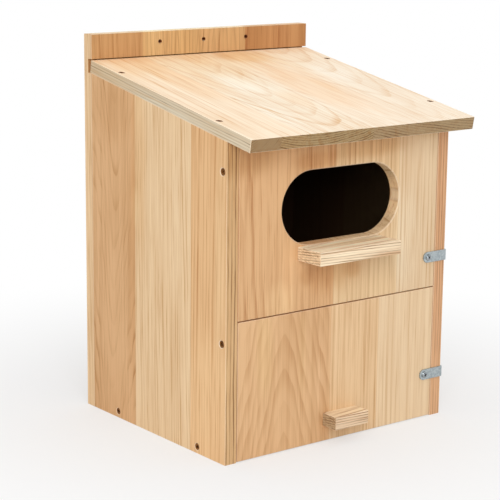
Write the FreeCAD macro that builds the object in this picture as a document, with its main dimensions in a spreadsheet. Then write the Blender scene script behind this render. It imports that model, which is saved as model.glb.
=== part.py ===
import FreeCAD, Part
import os
import re
from collections import namedtuple

import Sketcher
from FreeCAD import Placement, Rotation, Vector

# A duck house of screwed wooden boards, in millimetres.
# X runs across the front with +X to the right, Y runs from the front to the back, and Z is up.
# The origin is on the ground, in the middle of the box's width and depth.
# Two boards close the front. Each hangs on a pair of screws near its top edge and swings out,
# and each is held by a metal strap that wraps round the right corner and slips over a screw.

SIZES = [
    ("body_width", 310, "box across both side boards, and the width of the roof"),
    ("side_depth", 253, "side board from the front of the box to the back panel"),
    ("board_thickness", 15, "boards of the box"),
    ("eaves_height", 343, "top of a side board at its front edge"),
    ("back_rise", 28.8, "back panel above the roof where the two meet"),
    ("roof_pitch", 10.3, "slope of the roof in degrees"),
    ("roof_thickness", 14, "roof board"),
    ("roof_overhang", 37, "roof past the front of the box, measured level"),
    ("roof_entry", 3, "how far the roof's lower rear edge reaches into the groove"),
    ("groove_depth", 7, "groove across the back panel that takes the roof"),
    ("groove_headroom", 1.3, "groove above the roof's upper face"),
    ("seam_height", 153, "middle of the seam between the two front boards"),
    ("seam_gap", 1.5, "between the two front boards"),
    ("flap_side_gap", 0.8, "between a front board and each side board"),
    ("flap_ground_gap", 1, "under the lower front board"),
    ("flap_roof_gap", 1.5, "between the upper front board and the roof"),
    ("flap_stop_gap", 0.3, "between the lower front board and the floor's front edge"),
    ("upper_pivot_drop", 31.5, "upper front board's turning axis below the eaves"),
    ("lower_pivot_drop", 22.5, "lower front board's turning axis below the seam"),
    ("pivot_clearance", 0.08, "round a pivot screw's shank in its side board"),
    ("pivot_head_gap", 0.4, "round a pivot screw's head in its countersink"),
    ("entrance_width", 165, "entrance from end to end"),
    ("entrance_height", 80, "entrance from top to bottom, which sets its round ends"),
    ("entrance_drop", 79, "middle of the entrance below the eaves"),
    ("entrance_ease", 1.2, "bevel round the entrance's front rim"),
    ("ledge_width", 113, "landing ledge"),
    ("ledge_depth", 38, "landing ledge out from the front board"),
    ("ledge_shift", -4.5, "ledge's middle from the middle of the front"),
    ("ledge_drop", 0.5, "ledge's upper face below the entrance's lower edge"),
    ("handle_width", 47, "pull on the lower front board"),
    ("handle_depth", 22, "pull out from the front board"),
    ("handle_shift", 2, "pull's middle from the middle of the front"),
    ("handle_middle", 26, "pull's middle above the ground"),
    ("trim_thickness", 14.5, "ledge and pull"),
    ("edge_ease", 0.3, "bevel along a board's outer edges"),
    ("drain_diameter", 8, "drain hole in the floor"),
    ("drain_inset", 45, "drain hole from the floor's edges"),
    ("hanger_diameter", 5, "hanging hole in the back panel"),
    ("hanger_spacing", 62, "from one hanging hole to the next"),
    ("hanger_drop", 12, "hanging holes below the back panel's top"),
    ("strap_thickness", 1.5, "sheet of the latch straps"),
    ("strap_width", 12, "latch strap, and the diameter of its round end"),
    ("strap_front_length", 33.5, "strap's front leg to the outer face of the side board"),
    ("strap_side_length", 22, "strap's side leg back from the front of the box"),
    ("strap_side_gap", 0.3, "between a side leg and the side board"),
    ("strap_bend", 1.8, "outer rounding of the strap's bend"),
    ("strap_corner", 2, "rounding of the side leg's free corners"),
    ("strap_screw_inset", 7, "strap's screw from its round end"),
    ("upper_strap_rise", 35.5, "middle of the upper strap above the seam"),
    ("lower_strap_height", 51, "middle of the lower strap above the ground"),
    ("catch_setback", 15, "catch screw back from the front of the box"),
    ("catch_slot_gap", 0.35, "slot wider than the catch screw's shank, on each side"),
    ("catch_flare", 1.3, "slot's open end wider than its seat, on each side"),
    ("catch_head_gap", 0.3, "between a catch screw's head and the side leg"),
    ("screw_diameter", 4, "shank of a board screw"),
    ("screw_head", 7.5, "head of a board screw"),
    ("screw_length", 35, "board screw"),
    ("trim_screw_length", 29, "screw of the ledge and the pull"),
    ("screw_sink", 0.5, "countersunk heads below the wood's face"),
    ("screw_hole_gap", 0.3, "round a fixed screw's shank in the outer board"),
    ("pilot_reserve", 1, "pilot hole past the screw's tip"),
    ("latch_screw_diameter", 3.5, "shank of a strap's screw and of a catch screw"),
    ("latch_screw_head", 7, "pan head of those screws"),
    ("latch_screw_rise", 2.2, "height of the pan head"),
    ("latch_screw_taper", 22, "slope of the pan head's side in degrees"),
    ("latch_screw_length", 13, "those screws below the head"),
    ("roof_screw_front", 64, "roof screws from the roof's front edge, along the slope"),
    ("roof_screw_rear", 51, "roof screws from the roof's rear edge, along the slope"),
    ("floor_screw_inset", 50, "floor screws from the front and from the back panel"),
    ("back_screw_inset", 45, "end screws through the back panel from a side board's ends"),
    ("ledge_screw_inset", 20, "ledge screws from the ledge's ends"),
    ("handle_screw_inset", 12, "pull's screws from its ends"),
]
NAMES = re.compile(r"\b(" + "|".join(name for name, _, _ in SIZES) + r")\b")

# Places that several pieces share, as formulas of the sizes above
FRONT_Y = "-(side_depth + board_thickness) / 2"
LEFT_X = "-body_width / 2"
INNER_WIDTH = "(body_width - 2 * board_thickness)"
FLAP_WIDTH = "(body_width - 2 * board_thickness - 2 * flap_side_gap)"
FLAP_X = "-body_width / 2 + board_thickness + flap_side_gap"
ROOF_Z_AT_BACK = "(eaves_height + side_depth * tan(roof_pitch))"
ROOF_TOP_AT_BACK = f"({ROOF_Z_AT_BACK} + roof_thickness / cos(roof_pitch))"
BACK_HEIGHT = f"({ROOF_TOP_AT_BACK} + back_rise)"
ROOF_LENGTH = "((roof_overhang + side_depth + roof_entry) / cos(roof_pitch))"
FRONT_ON_SLOPE = "(roof_overhang / cos(roof_pitch))"
UPPER_FLAP_Z = "(seam_height + seam_gap / 2)"
UPPER_FLAP_HEIGHT = "(eaves_height - flap_roof_gap - seam_height - seam_gap / 2)"
LOWER_FLAP_HEIGHT = "(seam_height - seam_gap / 2 - flap_ground_gap)"
UPPER_PIVOT_Z = "(eaves_height - upper_pivot_drop)"
LOWER_PIVOT_Z = "(seam_height - lower_pivot_drop)"
ENTRANCE_Z = "(eaves_height - entrance_drop)"
LEDGE_Z = f"({ENTRANCE_Z} - entrance_height / 2 - ledge_drop - trim_thickness)"
UPPER_STRAP_Z = "(seam_height + upper_strap_rise)"
LOWER_STRAP_Z = "lower_strap_height"
STRAP_OUTER_X = "(body_width / 2 + strap_side_gap + strap_thickness)"
STRAP_SCREW_X = "(body_width / 2 - strap_front_length + strap_screw_inset)"
CATCH_Y = f"({FRONT_Y} + catch_setback)"

# A flat face of a piece: an origin plane, its offset along the plane's normal, and whether
# the plane's normal points out of the piece. A tilted face also turns about the plane's X.
Face = namedtuple("Face", "role offset outward tilt", defaults=("0", True, None))
# A screw's shank and head diameters, its length, and whether its head stands proud
Screw = namedtuple("Screw", "diameter head length pan")

BOARD_SCREW = Screw("screw_diameter", "screw_head", "screw_length", False)
TRIM_SCREW = Screw("screw_diameter", "screw_head", "trim_screw_length", False)
PAN_SCREW = Screw("latch_screw_diameter", "latch_screw_head", "latch_screw_length", True)

LEFT_WALL = Face("YZ_Plane", LEFT_X, False)

WHOLE_COUNTERSINK = 90
FINE = 1e-4


def bound(formula):
    """The formula as an expression that reads the sheet."""
    return NAMES.sub(r"Sizes.\1", formula)


def value(doc, formula):
    """What a formula comes to with the sheet's present sizes."""
    result = doc.Sizes.evalExpression(bound(formula))
    return float(getattr(result, "Value", result))


def make_sheet(doc):
    """The sheet of driving sizes, each cell with its name and meaning beside it."""
    sheet = doc.addObject("Spreadsheet::Sheet", "Sizes")
    for row, (name, size, meaning) in enumerate(SIZES, start=1):
        sheet.set(f"A{row}", name)
        sheet.set(f"B{row}", str(size))
        sheet.setAlias(f"B{row}", name)
        sheet.set(f"C{row}", meaning)
    doc.recompute()


def front_face():
    return Face("XZ_Plane")


def rear_face(depth):
    return Face("XZ_Plane", f"-({depth})", False)


def left_face():
    return Face("YZ_Plane", "0", False)


def right_face(width):
    return Face("YZ_Plane", width)


def top_face(height, tilt=None):
    return Face("XY_Plane", height, True, tilt)


def new_body(doc, label, x="0", y="0", z="0", pitch=None):
    """An empty piece whose place, and slope if it has one, follow the sheet."""
    body = doc.addObject("PartDesign::Body", label)
    body.Label = label
    body.AllowCompound = True
    if pitch:
        body.Placement = Placement(Vector(), Rotation(Vector(1, 0, 0), value(doc, pitch)))
        body.setExpression("Placement.Rotation.Angle", bound(pitch))
    for axis, formula in zip("xyz", (x, y, z)):
        body.setExpression(f"Placement.Base.{axis}", bound(formula))
    return body


def origin_part(body, role):
    """One of the body's own origin planes or axes."""
    return next(item for item in body.Origin.OriginFeatures if item.Role == role)


def new_sketch(body, name, face, sink="0"):
    """A sketch on a face of the body, or a little way under that face."""
    sketch = body.newObject("Sketcher::SketchObject", f"{body.Name}_{name}")
    sketch.AttachmentSupport = [(origin_part(body, face.role), "")]
    sketch.MapMode = "FlatFace"
    if face.tilt:
        turn = Rotation(Vector(1, 0, 0), value(body.Document, face.tilt))
        sketch.AttachmentOffset = Placement(Vector(), turn)
        sketch.setExpression("AttachmentOffset.Rotation.Angle", bound(face.tilt))
    inward = "-" if face.outward else "+"
    sketch.setExpression("AttachmentOffset.Base.z", bound(f"{face.offset} {inward} ({sink})"))
    return sketch


def fix_distance(sketch, kind, index, point, formula):
    """Tie one point of the sketch to the origin along one axis, at a formula of the sizes."""
    size = value(sketch.Document, formula)
    added = sketch.addConstraint(Sketcher.Constraint(kind, -1, 1, index, point, size))
    sketch.setExpression(f"Constraints[{added}]", bound(formula))


def fix_point(sketch, index, point, place):
    """Tie one point of the sketch to the origin along both axes."""
    for kind, axis_line, formula in (("DistanceX", -2, place[0]), ("DistanceY", -1, place[1])):
        if formula == "0":
            sketch.addConstraint(Sketcher.Constraint("PointOnObject", index, point, axis_line))
        else:
            fix_distance(sketch, kind, index, point, formula)


def draw_outline(sketch, corners):
    """A closed outline of straight sides through corners given as formulas."""
    doc = sketch.Document
    first = sketch.GeometryCount
    points = [Vector(value(doc, x), value(doc, y), 0) for x, y in corners]
    for start, end in zip(points, points[1:] + points[:1]):
        sketch.addGeometry(Part.LineSegment(start, end))
    count = len(corners)
    for side in range(count):
        following = first + (side + 1) % count
        sketch.addConstraint(Sketcher.Constraint("Coincident", first + side, 2, following, 1))
    for side, corner in enumerate(corners):
        fix_point(sketch, first + side, 1, corner)


def draw_circles(sketch, spots, diameter):
    """One circle of the same diameter at each spot."""
    doc = sketch.Document
    radius = value(doc, diameter) / 2
    for spot in spots:
        middle = Vector(value(doc, spot[0]), value(doc, spot[1]), 0)
        index = sketch.addGeometry(Part.Circle(middle, Vector(0, 0, 1), radius))
        fix_point(sketch, index, 3, spot)
        added = sketch.addConstraint(Sketcher.Constraint("Diameter", index, 2 * radius))
        sketch.setExpression(f"Constraints[{added}]", bound(diameter))


def draw_arc(sketch, centre, radius, start_degrees, end_degrees):
    """An arc with its centre and radius tied to formulas; gives its index."""
    doc = sketch.Document
    middle = Vector(value(doc, centre[0]), value(doc, centre[1]), 0)
    circle = Part.Circle(middle, Vector(0, 0, 1), value(doc, radius))
    to_radians = FreeCAD.Units.Quantity("1 deg").getValueAs("rad").Value
    arc = Part.ArcOfCircle(circle, start_degrees * to_radians, end_degrees * to_radians)
    index = sketch.addGeometry(arc)
    fix_point(sketch, index, 3, centre)
    added = sketch.addConstraint(Sketcher.Constraint("Radius", index, value(doc, radius)))
    sketch.setExpression(f"Constraints[{added}]", bound(radius))
    return index


def draw_line(sketch, start, end):
    """A straight line between two places given as formulas; gives its index."""
    doc = sketch.Document
    ends = [Vector(value(doc, x), value(doc, y), 0) for x, y in (start, end)]
    return sketch.addGeometry(Part.LineSegment(*ends))


def join(sketch, first, first_end, second, second_end, kind="Coincident"):
    sketch.addConstraint(Sketcher.Constraint(kind, first, first_end, second, second_end))


def draw_slot(sketch, middle, width, height):
    """A level slot with two round ends and straight sides tangent to them."""
    x, y = middle
    reach = f"(({width}) - ({height})) / 2"
    radius = f"({height}) / 2"
    left = draw_arc(sketch, (f"{x} - {reach}", y), radius, 90, 270)
    right = draw_arc(sketch, (f"{x} + {reach}", y), radius, -90, 90)
    low, high = f"{y} - {radius}", f"{y} + {radius}"
    bottom = draw_line(sketch, (f"{x} - {reach}", low), (f"{x} + {reach}", low))
    top = draw_line(sketch, (f"{x} + {reach}", high), (f"{x} - {reach}", high))
    join(sketch, left, 2, bottom, 1, "Tangent")
    join(sketch, bottom, 2, right, 1, "Tangent")
    join(sketch, right, 2, top, 1, "Tangent")
    join(sketch, top, 2, left, 1, "Tangent")


def pad(body, sketch, length, reverse=False, taper=None):
    """Raise the sketch into a solid."""
    feature = body.newObject("PartDesign::Pad", f"{sketch.Name}_pad")
    feature.Profile = sketch
    feature.Reversed = reverse
    feature.setExpression("Length", bound(length))
    if taper:
        feature.setExpression("TaperAngle", bound(taper))
    sketch.Document.recompute()
    return feature


def pocket(body, sketch, depth=None, reverse=False):
    """Cut the sketch out, right through where no depth is given."""
    before = body.Shape.Volume
    feature = body.newObject("PartDesign::Pocket", f"{sketch.Name}_pocket")
    feature.Profile = sketch
    feature.Reversed = reverse
    if depth:
        feature.setExpression("Length", bound(depth))
    else:
        feature.Type = "ThroughAll"
    sketch.Document.recompute()
    if body.Shape.Volume > before - FINE:
        raise ValueError(f"{feature.Name} cuts nothing")
    return feature


def drill(body, name, face, spots, diameter, depth=None, countersink=None):
    """Round holes into a face, with a cone for a screw's head where one is given."""
    before = body.Shape.Volume
    sketch = new_sketch(body, name, face)
    draw_circles(sketch, spots, diameter)
    sketch.Document.recompute()
    hole = body.newObject("PartDesign::Hole", f"{sketch.Name}_hole")
    hole.Profile = sketch
    sketch.Document.recompute()
    hole.Reversed = not face.outward
    hole.ThreadType = "None"
    hole.DrillPoint = "Flat"
    hole.setExpression("Diameter", bound(diameter))
    hole.DepthType = "Dimension" if depth else "ThroughAll"
    if depth:
        hole.setExpression("Depth", bound(depth))
    if countersink:
        hole.HoleCutType = "Countersink"
        hole.HoleCutCustomValues = True
        hole.setExpression("HoleCutDiameter", bound(countersink))
        hole.HoleCutCountersinkAngle = WHOLE_COUNTERSINK
    sketch.Document.recompute()
    if body.Shape.Volume > before - FINE:
        raise ValueError(f"{hole.Name} cuts nothing")
    return hole


def pick_edges(feature, wanted):
    """Names of a feature's edges that pass the test."""
    edges = enumerate(feature.Shape.Edges, start=1)
    names = [f"Edge{number}" for number, edge in edges if wanted(edge)]
    if not names:
        raise ValueError(f"{feature.Name} has none of the edges looked for")
    return names


def round_edges(body, name, radius, wanted):
    """Round the edges of the body's last feature that pass the test."""
    last = body.Tip
    fillet = body.newObject("PartDesign::Fillet", f"{body.Name}_{name}")
    fillet.Base = (last, pick_edges(last, wanted))
    fillet.setExpression("Radius", bound(radius))
    body.Document.recompute()


def bevel_edges(body, name, size, wanted=None):
    """Bevel the edges of the body's last feature that pass the test, or all of them."""
    last = body.Tip
    chamfer = body.newObject("PartDesign::Chamfer", f"{body.Name}_{name}")
    chamfer.Base = (last, pick_edges(last, wanted or (lambda edge: True)))
    chamfer.setExpression("Size", bound(size))
    body.Document.recompute()


def board(body, width, depth, height):
    """A plain board from the body's origin, with all its edges eased."""
    sketch = new_sketch(body, "outline", top_face("0"))
    draw_outline(sketch, [("0", "0"), (width, "0"), (width, depth), ("0", depth)])
    pad(body, sketch, height)
    bevel_edges(body, "eased", "edge_ease")


def clearance_hole(body, name, face, spots, screw=BOARD_SCREW):
    """Holes for fixed screws through the board under their heads."""
    diameter = f"{screw.diameter} + 2 * screw_hole_gap"
    drill(body, name, face, spots, diameter, countersink=f"{screw.head} + 2 * screw_sink")


def pilot_hole(body, name, face, spots, screw, reach):
    """Holes that a screw's thread bites into, deep enough for its reach past the face."""
    drill(body, name, face, spots, screw.diameter, depth=f"{reach} + pilot_reserve")


def drive_screws(body, face, spots, screw, stand_off="0"):
    """Screws driven in through a face, their heads sunk in it or, with a pan head, proud of it."""
    inward = face.outward
    sink = f"-({stand_off})" if screw.pan else "screw_sink"
    head = new_sketch(body, "heads", face, sink)
    draw_circles(head, spots, screw.head)
    if screw.pan:
        heads = pad(body, head, "latch_screw_rise", not inward, "-latch_screw_taper")
    else:
        cone = f"({screw.head} - {screw.diameter}) / 2"
        heads = pad(body, head, cone, inward, f"-{WHOLE_COUNTERSINK} / 2")
    shank = new_sketch(body, "shanks", face, sink)
    draw_circles(shank, spots, screw.diameter)
    return [heads, pad(body, shank, screw.length, inward)]


def mirror_across(body, features):
    """The same features on the other side of the box."""
    mirrored = body.newObject("PartDesign::Mirrored", f"{body.Name}_mirrored")
    mirrored.Originals = features
    mirrored.MirrorPlane = (origin_part(body, "YZ_Plane"), [""])
    body.Tip = mirrored
    body.Document.recompute()


def floor_screw_spots():
    """Floor screws on a side board, as distances from its front edge and from the ground."""
    middle = "board_thickness / 2"
    return [("floor_screw_inset", middle), ("side_depth - floor_screw_inset", middle)]


def pivot_spot(height):
    return [("board_thickness / 2", height)]


def roof_screw_rows():
    """Roof screws as distances up the slope from the roof's front edge."""
    return ["roof_screw_front", f"{ROOF_LENGTH} - roof_screw_rear"]


def side_board_middles():
    """The middles of the two side boards' thickness, from the box's left."""
    return ["board_thickness / 2", "body_width - board_thickness / 2"]


def back_screw_heights():
    """An even row up each side board's rear edge."""
    run = f"({ROOF_Z_AT_BACK} - 2 * back_screw_inset)"
    return [f"back_screw_inset + {run} * {row} / 2" for row in range(3)]


def catch_spots():
    """Catch screws on the right side board, as distances from its front edge and the ground."""
    return [("catch_setback", height) for height in (UPPER_STRAP_Z, LOWER_STRAP_Z)]


def back_screw_spots():
    return [(x, z) for x in side_board_middles() for z in back_screw_heights()]


def make_back_panel(doc):
    """The tall back: a groove across its front takes the roof, and three holes hang it up."""
    body = new_body(doc, "back_panel", LEFT_X, f"{FRONT_Y} + side_depth")
    board(body, "body_width", "board_thickness", BACK_HEIGHT)
    groove = new_sketch(body, "groove", right_face("body_width"))
    groove_top = f"{ROOF_TOP_AT_BACK} + groove_headroom"
    draw_outline(groove, [("0", ROOF_Z_AT_BACK), ("groove_depth", ROOF_Z_AT_BACK),
                          ("groove_depth", groove_top), ("0", groove_top)])
    pocket(body, groove)
    hangers = [(f"body_width / 2 + {step} * hanger_spacing", f"{BACK_HEIGHT} - hanger_drop")
               for step in (-1, 0, 1)]
    drill(body, "hangers", front_face(), hangers, "hanger_diameter")
    clearance_hole(body, "screw_holes", rear_face("board_thickness"), back_screw_spots())


def make_side(doc, label, is_left):
    """A side board with a sloping top, drilled for every screw that goes through or into it."""
    x = LEFT_X if is_left else "body_width / 2 - board_thickness"
    body = new_body(doc, label, x, FRONT_Y)
    profile = new_sketch(body, "profile", left_face())
    draw_outline(profile, [
        ("0", "0"), ("side_depth", "0"), ("side_depth", ROOF_Z_AT_BACK), ("0", "eaves_height")])
    pad(body, profile, "board_thickness")
    bevel_edges(body, "eased", "edge_ease")
    outer = left_face() if is_left else right_face("board_thickness")
    clearance_hole(body, "floor_screw_holes", outer, floor_screw_spots())
    pivots = pivot_spot(UPPER_PIVOT_Z) + pivot_spot(LOWER_PIVOT_Z)
    drill(body, "pivot_holes", outer, pivots, "screw_diameter + 2 * pivot_clearance",
          countersink="screw_head + 2 * screw_sink + 2 * pivot_head_gap")
    rows = [("board_thickness / 2", f"{row} - {FRONT_ON_SLOPE}") for row in roof_screw_rows()]
    pilot_hole(body, "roof_pilots", top_face("eaves_height", "roof_pitch"), rows, BOARD_SCREW,
               "screw_length + screw_sink - roof_thickness")
    back_spots = [("board_thickness / 2", z) for z in back_screw_heights()]
    pilot_hole(body, "back_pilots", rear_face("side_depth"), back_spots, BOARD_SCREW,
               "screw_length + screw_sink - board_thickness")
    if not is_left:
        stand_off = "(strap_side_gap + strap_thickness + catch_head_gap)"
        pilot_hole(body, "catch_pilots", outer, catch_spots(), PAN_SCREW,
                   f"latch_screw_length - {stand_off}")


def make_floor(doc):
    """The floor between the side boards, with a drain hole near each corner."""
    depth = "(side_depth - board_thickness - flap_stop_gap)"
    body = new_body(doc, "floor", f"{LEFT_X} + board_thickness",
                    f"{FRONT_Y} + board_thickness + flap_stop_gap")
    board(body, INNER_WIDTH, depth, "board_thickness")
    drains = [(x, y) for x in ("drain_inset", f"{INNER_WIDTH} - drain_inset")
              for y in ("drain_inset", f"{depth} - drain_inset")]
    drill(body, "drains", top_face("board_thickness"), drains, "drain_diameter")
    spots = [(f"{y} - board_thickness - flap_stop_gap", z) for y, z in floor_screw_spots()]
    reach = "screw_length + screw_sink - board_thickness"
    pilot_hole(body, "left_pilots", left_face(), spots, BOARD_SCREW, reach)
    pilot_hole(body, "right_pilots", right_face(INNER_WIDTH), spots, BOARD_SCREW, reach)


def roof_body(doc, label):
    """An empty piece in the roof's own frame: its lower front left corner, with Y up the slope."""
    return new_body(doc, label, LEFT_X, f"{FRONT_Y} - roof_overhang",
                    "eaves_height - roof_overhang * tan(roof_pitch)", pitch="roof_pitch")


def roof_spots():
    return [(x, y) for x in side_board_middles() for y in roof_screw_rows()]


def make_roof(doc):
    """The roof, cut square at both ends, which lies on the side boards' sloping tops."""
    body = roof_body(doc, "roof")
    board(body, "body_width", ROOF_LENGTH, "roof_thickness")
    clearance_hole(body, "screw_holes", top_face("roof_thickness"), roof_spots())


def drill_flap_ends(body, height):
    """Pilot holes in a front board's ends for the two screws that it turns on."""
    reach = "screw_length + screw_sink - board_thickness - flap_side_gap"
    spots = pivot_spot(height)
    pilot_hole(body, "left_pilot", left_face(), spots, BOARD_SCREW, reach)
    pilot_hole(body, "right_pilot", right_face(FLAP_WIDTH), spots, BOARD_SCREW, reach)


def strap_pilot(body, base, height):
    """Pilot hole for a latch strap's screw in a front board that starts at a height of base."""
    spot = (f"{STRAP_SCREW_X} - ({FLAP_X})", f"{height} - {base}")
    pilot_hole(body, "latch_pilot", front_face(), [spot], PAN_SCREW,
               "latch_screw_length - strap_thickness")


def ledge_screw_spots():
    """Ledge screws across the front board, and their height above the ground."""
    middle = f"{FLAP_WIDTH} / 2 + ledge_shift"
    height = f"{LEDGE_Z} + trim_thickness / 2"
    return [(f"{middle} {side} (ledge_width / 2 - ledge_screw_inset)", height) for side in "-+"]


def handle_screw_spots():
    """The pull's screws across the front board, and their height above the ground."""
    middle = f"{FLAP_WIDTH} / 2 + handle_shift"
    return [(f"{middle} {side} (handle_width / 2 - handle_screw_inset)", "handle_middle")
            for side in "-+"]


def make_upper_front(doc):
    """The upper front board with the entrance, a wide slot with round ends and an eased rim."""
    body = new_body(doc, "upper_front", FLAP_X, FRONT_Y, UPPER_FLAP_Z)
    board(body, FLAP_WIDTH, "board_thickness", UPPER_FLAP_HEIGHT)
    entrance = new_sketch(body, "entrance", front_face())
    middle = f"{FLAP_WIDTH} / 2"
    draw_slot(entrance, (middle, f"{ENTRANCE_Z} - {UPPER_FLAP_Z}"), "entrance_width",
              "entrance_height")
    pocket(body, entrance)
    left = value(doc, f"({FLAP_WIDTH} - entrance_width) / 2") - FINE

    def is_front_rim(edge):
        box = edge.BoundBox
        return box.YMax < FINE and box.XMin > left and box.XMax < value(doc, FLAP_WIDTH) - left

    bevel_edges(body, "entrance_rim", "entrance_ease", is_front_rim)
    drill_flap_ends(body, f"{UPPER_PIVOT_Z} - {UPPER_FLAP_Z}")
    strap_pilot(body, UPPER_FLAP_Z, UPPER_STRAP_Z)
    spots = [(x, f"{z} - {UPPER_FLAP_Z}") for x, z in ledge_screw_spots()]
    clearance_hole(body, "ledge_screw_holes", rear_face("board_thickness"), spots, TRIM_SCREW)


def make_lower_front(doc):
    """The lower front board, which opens for cleaning."""
    body = new_body(doc, "lower_front", FLAP_X, FRONT_Y, "flap_ground_gap")
    board(body, FLAP_WIDTH, "board_thickness", LOWER_FLAP_HEIGHT)
    drill_flap_ends(body, f"{LOWER_PIVOT_Z} - flap_ground_gap")
    strap_pilot(body, "flap_ground_gap", LOWER_STRAP_Z)
    spots = [(x, f"{z} - flap_ground_gap") for x, z in handle_screw_spots()]
    clearance_hole(body, "handle_screw_holes", rear_face("board_thickness"), spots, TRIM_SCREW)


def make_trim(doc, label, width, depth, shift, height, inset):
    """A ledge or pull: a bar screwed on from inside the front board."""
    body = new_body(doc, label, f"{shift} - {width} / 2", f"{FRONT_Y} - {depth}", height)
    board(body, width, depth, "trim_thickness")
    spots = [(x, "trim_thickness / 2") for x in (inset, f"{width} - {inset}")]
    pilot_hole(body, "pilots", rear_face(depth), spots, TRIM_SCREW,
               "trim_screw_length + screw_sink - board_thickness")


def draw_strap_front(sketch, height):
    """The strap's front leg: one round end, and straight on to the bend."""
    radius = "strap_width / 2"
    centre_x = "body_width / 2 - strap_front_length + strap_width / 2"
    low, high = f"{height} - {radius}", f"{height} + {radius}"
    end = draw_arc(sketch, (centre_x, height), radius, 90, 270)
    bottom = draw_line(sketch, (centre_x, low), (STRAP_OUTER_X, low))
    side = draw_line(sketch, (STRAP_OUTER_X, low), (STRAP_OUTER_X, high))
    top = draw_line(sketch, (STRAP_OUTER_X, high), (centre_x, high))
    join(sketch, end, 2, bottom, 1, "Tangent")
    join(sketch, bottom, 2, side, 1)
    join(sketch, side, 2, top, 1)
    join(sketch, top, 2, end, 1, "Tangent")
    for line, direction in ((bottom, "Horizontal"), (side, "Vertical"), (top, "Horizontal")):
        sketch.addConstraint(Sketcher.Constraint(direction, line))
    fix_distance(sketch, "DistanceX", side, 1, STRAP_OUTER_X)


def draw_catch_slot(sketch, height):
    """An open slot, round where it meets the catch screw and flared towards its mouth."""
    narrow = "(latch_screw_diameter / 2 + catch_slot_gap)"
    wide = f"({narrow} + catch_flare)"
    mouth = f"{FRONT_Y} + strap_side_length + strap_thickness"
    seat = draw_arc(sketch, (CATCH_Y, height), narrow, 90, 270)
    low_corner = (mouth, f"{height} - {wide}")
    high_corner = (mouth, f"{height} + {wide}")
    low = draw_line(sketch, (CATCH_Y, f"{height} - {narrow}"), low_corner)
    end = draw_line(sketch, low_corner, high_corner)
    high = draw_line(sketch, high_corner, (CATCH_Y, f"{height} + {narrow}"))
    join(sketch, seat, 2, low, 1)
    join(sketch, low, 2, end, 1)
    join(sketch, end, 2, high, 1)
    join(sketch, high, 2, seat, 1)
    fix_point(sketch, end, 1, low_corner)
    fix_point(sketch, end, 2, high_corner)
    for seat_end in (1, 2):
        fix_distance(sketch, "DistanceX", seat, seat_end, CATCH_Y)


def make_latch_strap(doc, label, height):
    """A strap bent round the box's right corner: screwed to a front board, slotted at the side."""
    body = new_body(doc, label)
    at_front = Face("XZ_Plane", f"-({FRONT_Y})")
    at_side = Face("YZ_Plane", "body_width / 2 + strap_side_gap")
    front_leg = new_sketch(body, "front_leg", at_front)
    draw_strap_front(front_leg, height)
    pad(body, front_leg, "strap_thickness")
    side_leg = new_sketch(body, "side_leg", at_side)
    near, far = f"{FRONT_Y} - strap_thickness", f"{FRONT_Y} + strap_side_length"
    low, high = f"{height} - strap_width / 2", f"{height} + strap_width / 2"
    draw_outline(side_leg, [(near, low), (far, low), (far, high), (near, high)])
    pad(body, side_leg, "strap_thickness")
    outer_x, near_y, far_y = (value(doc, formula) for formula in (STRAP_OUTER_X, near, far))

    def is_bend(edge):
        box = edge.BoundBox
        return box.XMin > outer_x - FINE and box.YMax < near_y + FINE

    def is_free_corner(edge):
        box = edge.BoundBox
        return box.YMin > far_y - FINE and box.ZLength < FINE

    round_edges(body, "bend", "strap_bend", is_bend)
    round_edges(body, "free_corners", "strap_corner", is_free_corner)
    drill(body, "screw_hole", at_front._replace(offset=f"-({FRONT_Y}) + strap_thickness"),
          [(STRAP_SCREW_X, height)], "latch_screw_diameter + 2 * screw_hole_gap")
    slot = new_sketch(body, "catch_slot", at_side._replace(offset=STRAP_OUTER_X))
    draw_catch_slot(slot, height)
    pocket(body, slot)


def make_fixed_screws(doc):
    """The screws that hold the box together, and the two that the straps catch on."""
    body = roof_body(doc, "roof_screws")
    drive_screws(body, top_face("roof_thickness"), roof_spots(), BOARD_SCREW)
    body = new_body(doc, "back_screws", LEFT_X, f"{FRONT_Y} + side_depth")
    drive_screws(body, rear_face("board_thickness"), back_screw_spots(), BOARD_SCREW)
    body = new_body(doc, "floor_screws", y=FRONT_Y)
    mirror_across(body, drive_screws(body, LEFT_WALL, floor_screw_spots(), BOARD_SCREW))
    body = new_body(doc, "catch_screws", y=FRONT_Y)
    strap_side = Face("YZ_Plane", STRAP_OUTER_X)
    drive_screws(body, strap_side, catch_spots(), PAN_SCREW, "catch_head_gap")


def make_flap_screws(doc, name, pivot_z, trim_name, trim_spots, strap_z):
    """A front board's screws: the pair that it turns on, its ledge's or pull's, its strap's."""
    body = new_body(doc, f"{name}_pivot_screws", y=FRONT_Y)
    mirror_across(body, drive_screws(body, LEFT_WALL, pivot_spot(pivot_z), BOARD_SCREW))
    body = new_body(doc, f"{trim_name}_screws", FLAP_X, FRONT_Y)
    drive_screws(body, rear_face("board_thickness"), trim_spots, TRIM_SCREW)
    body = new_body(doc, f"{name}_latch_screw", y=FRONT_Y)
    strap_front = Face("XZ_Plane", "strap_thickness")
    drive_screws(body, strap_front, [(STRAP_SCREW_X, strap_z)], PAN_SCREW)


def check_and_write(doc):
    """Refuse a failed feature or an unsound solid, then write each piece to its own file."""
    for item in doc.Objects:
        if "Invalid" in item.State or "Error" in item.State:
            raise ValueError(f"{item.Name} failed: {item.State}")
    os.makedirs("parts", exist_ok=True)
    for body in doc.findObjects("PartDesign::Body"):
        shape = body.Shape
        if shape.isNull() or not shape.isValid() or not shape.Solids:
            raise ValueError(f"{body.Label} is not a sound solid")
        shape.exportStep(f"parts/{body.Label}.step")
        print(body.Label, len(shape.Solids), round(shape.Volume, 1))


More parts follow.
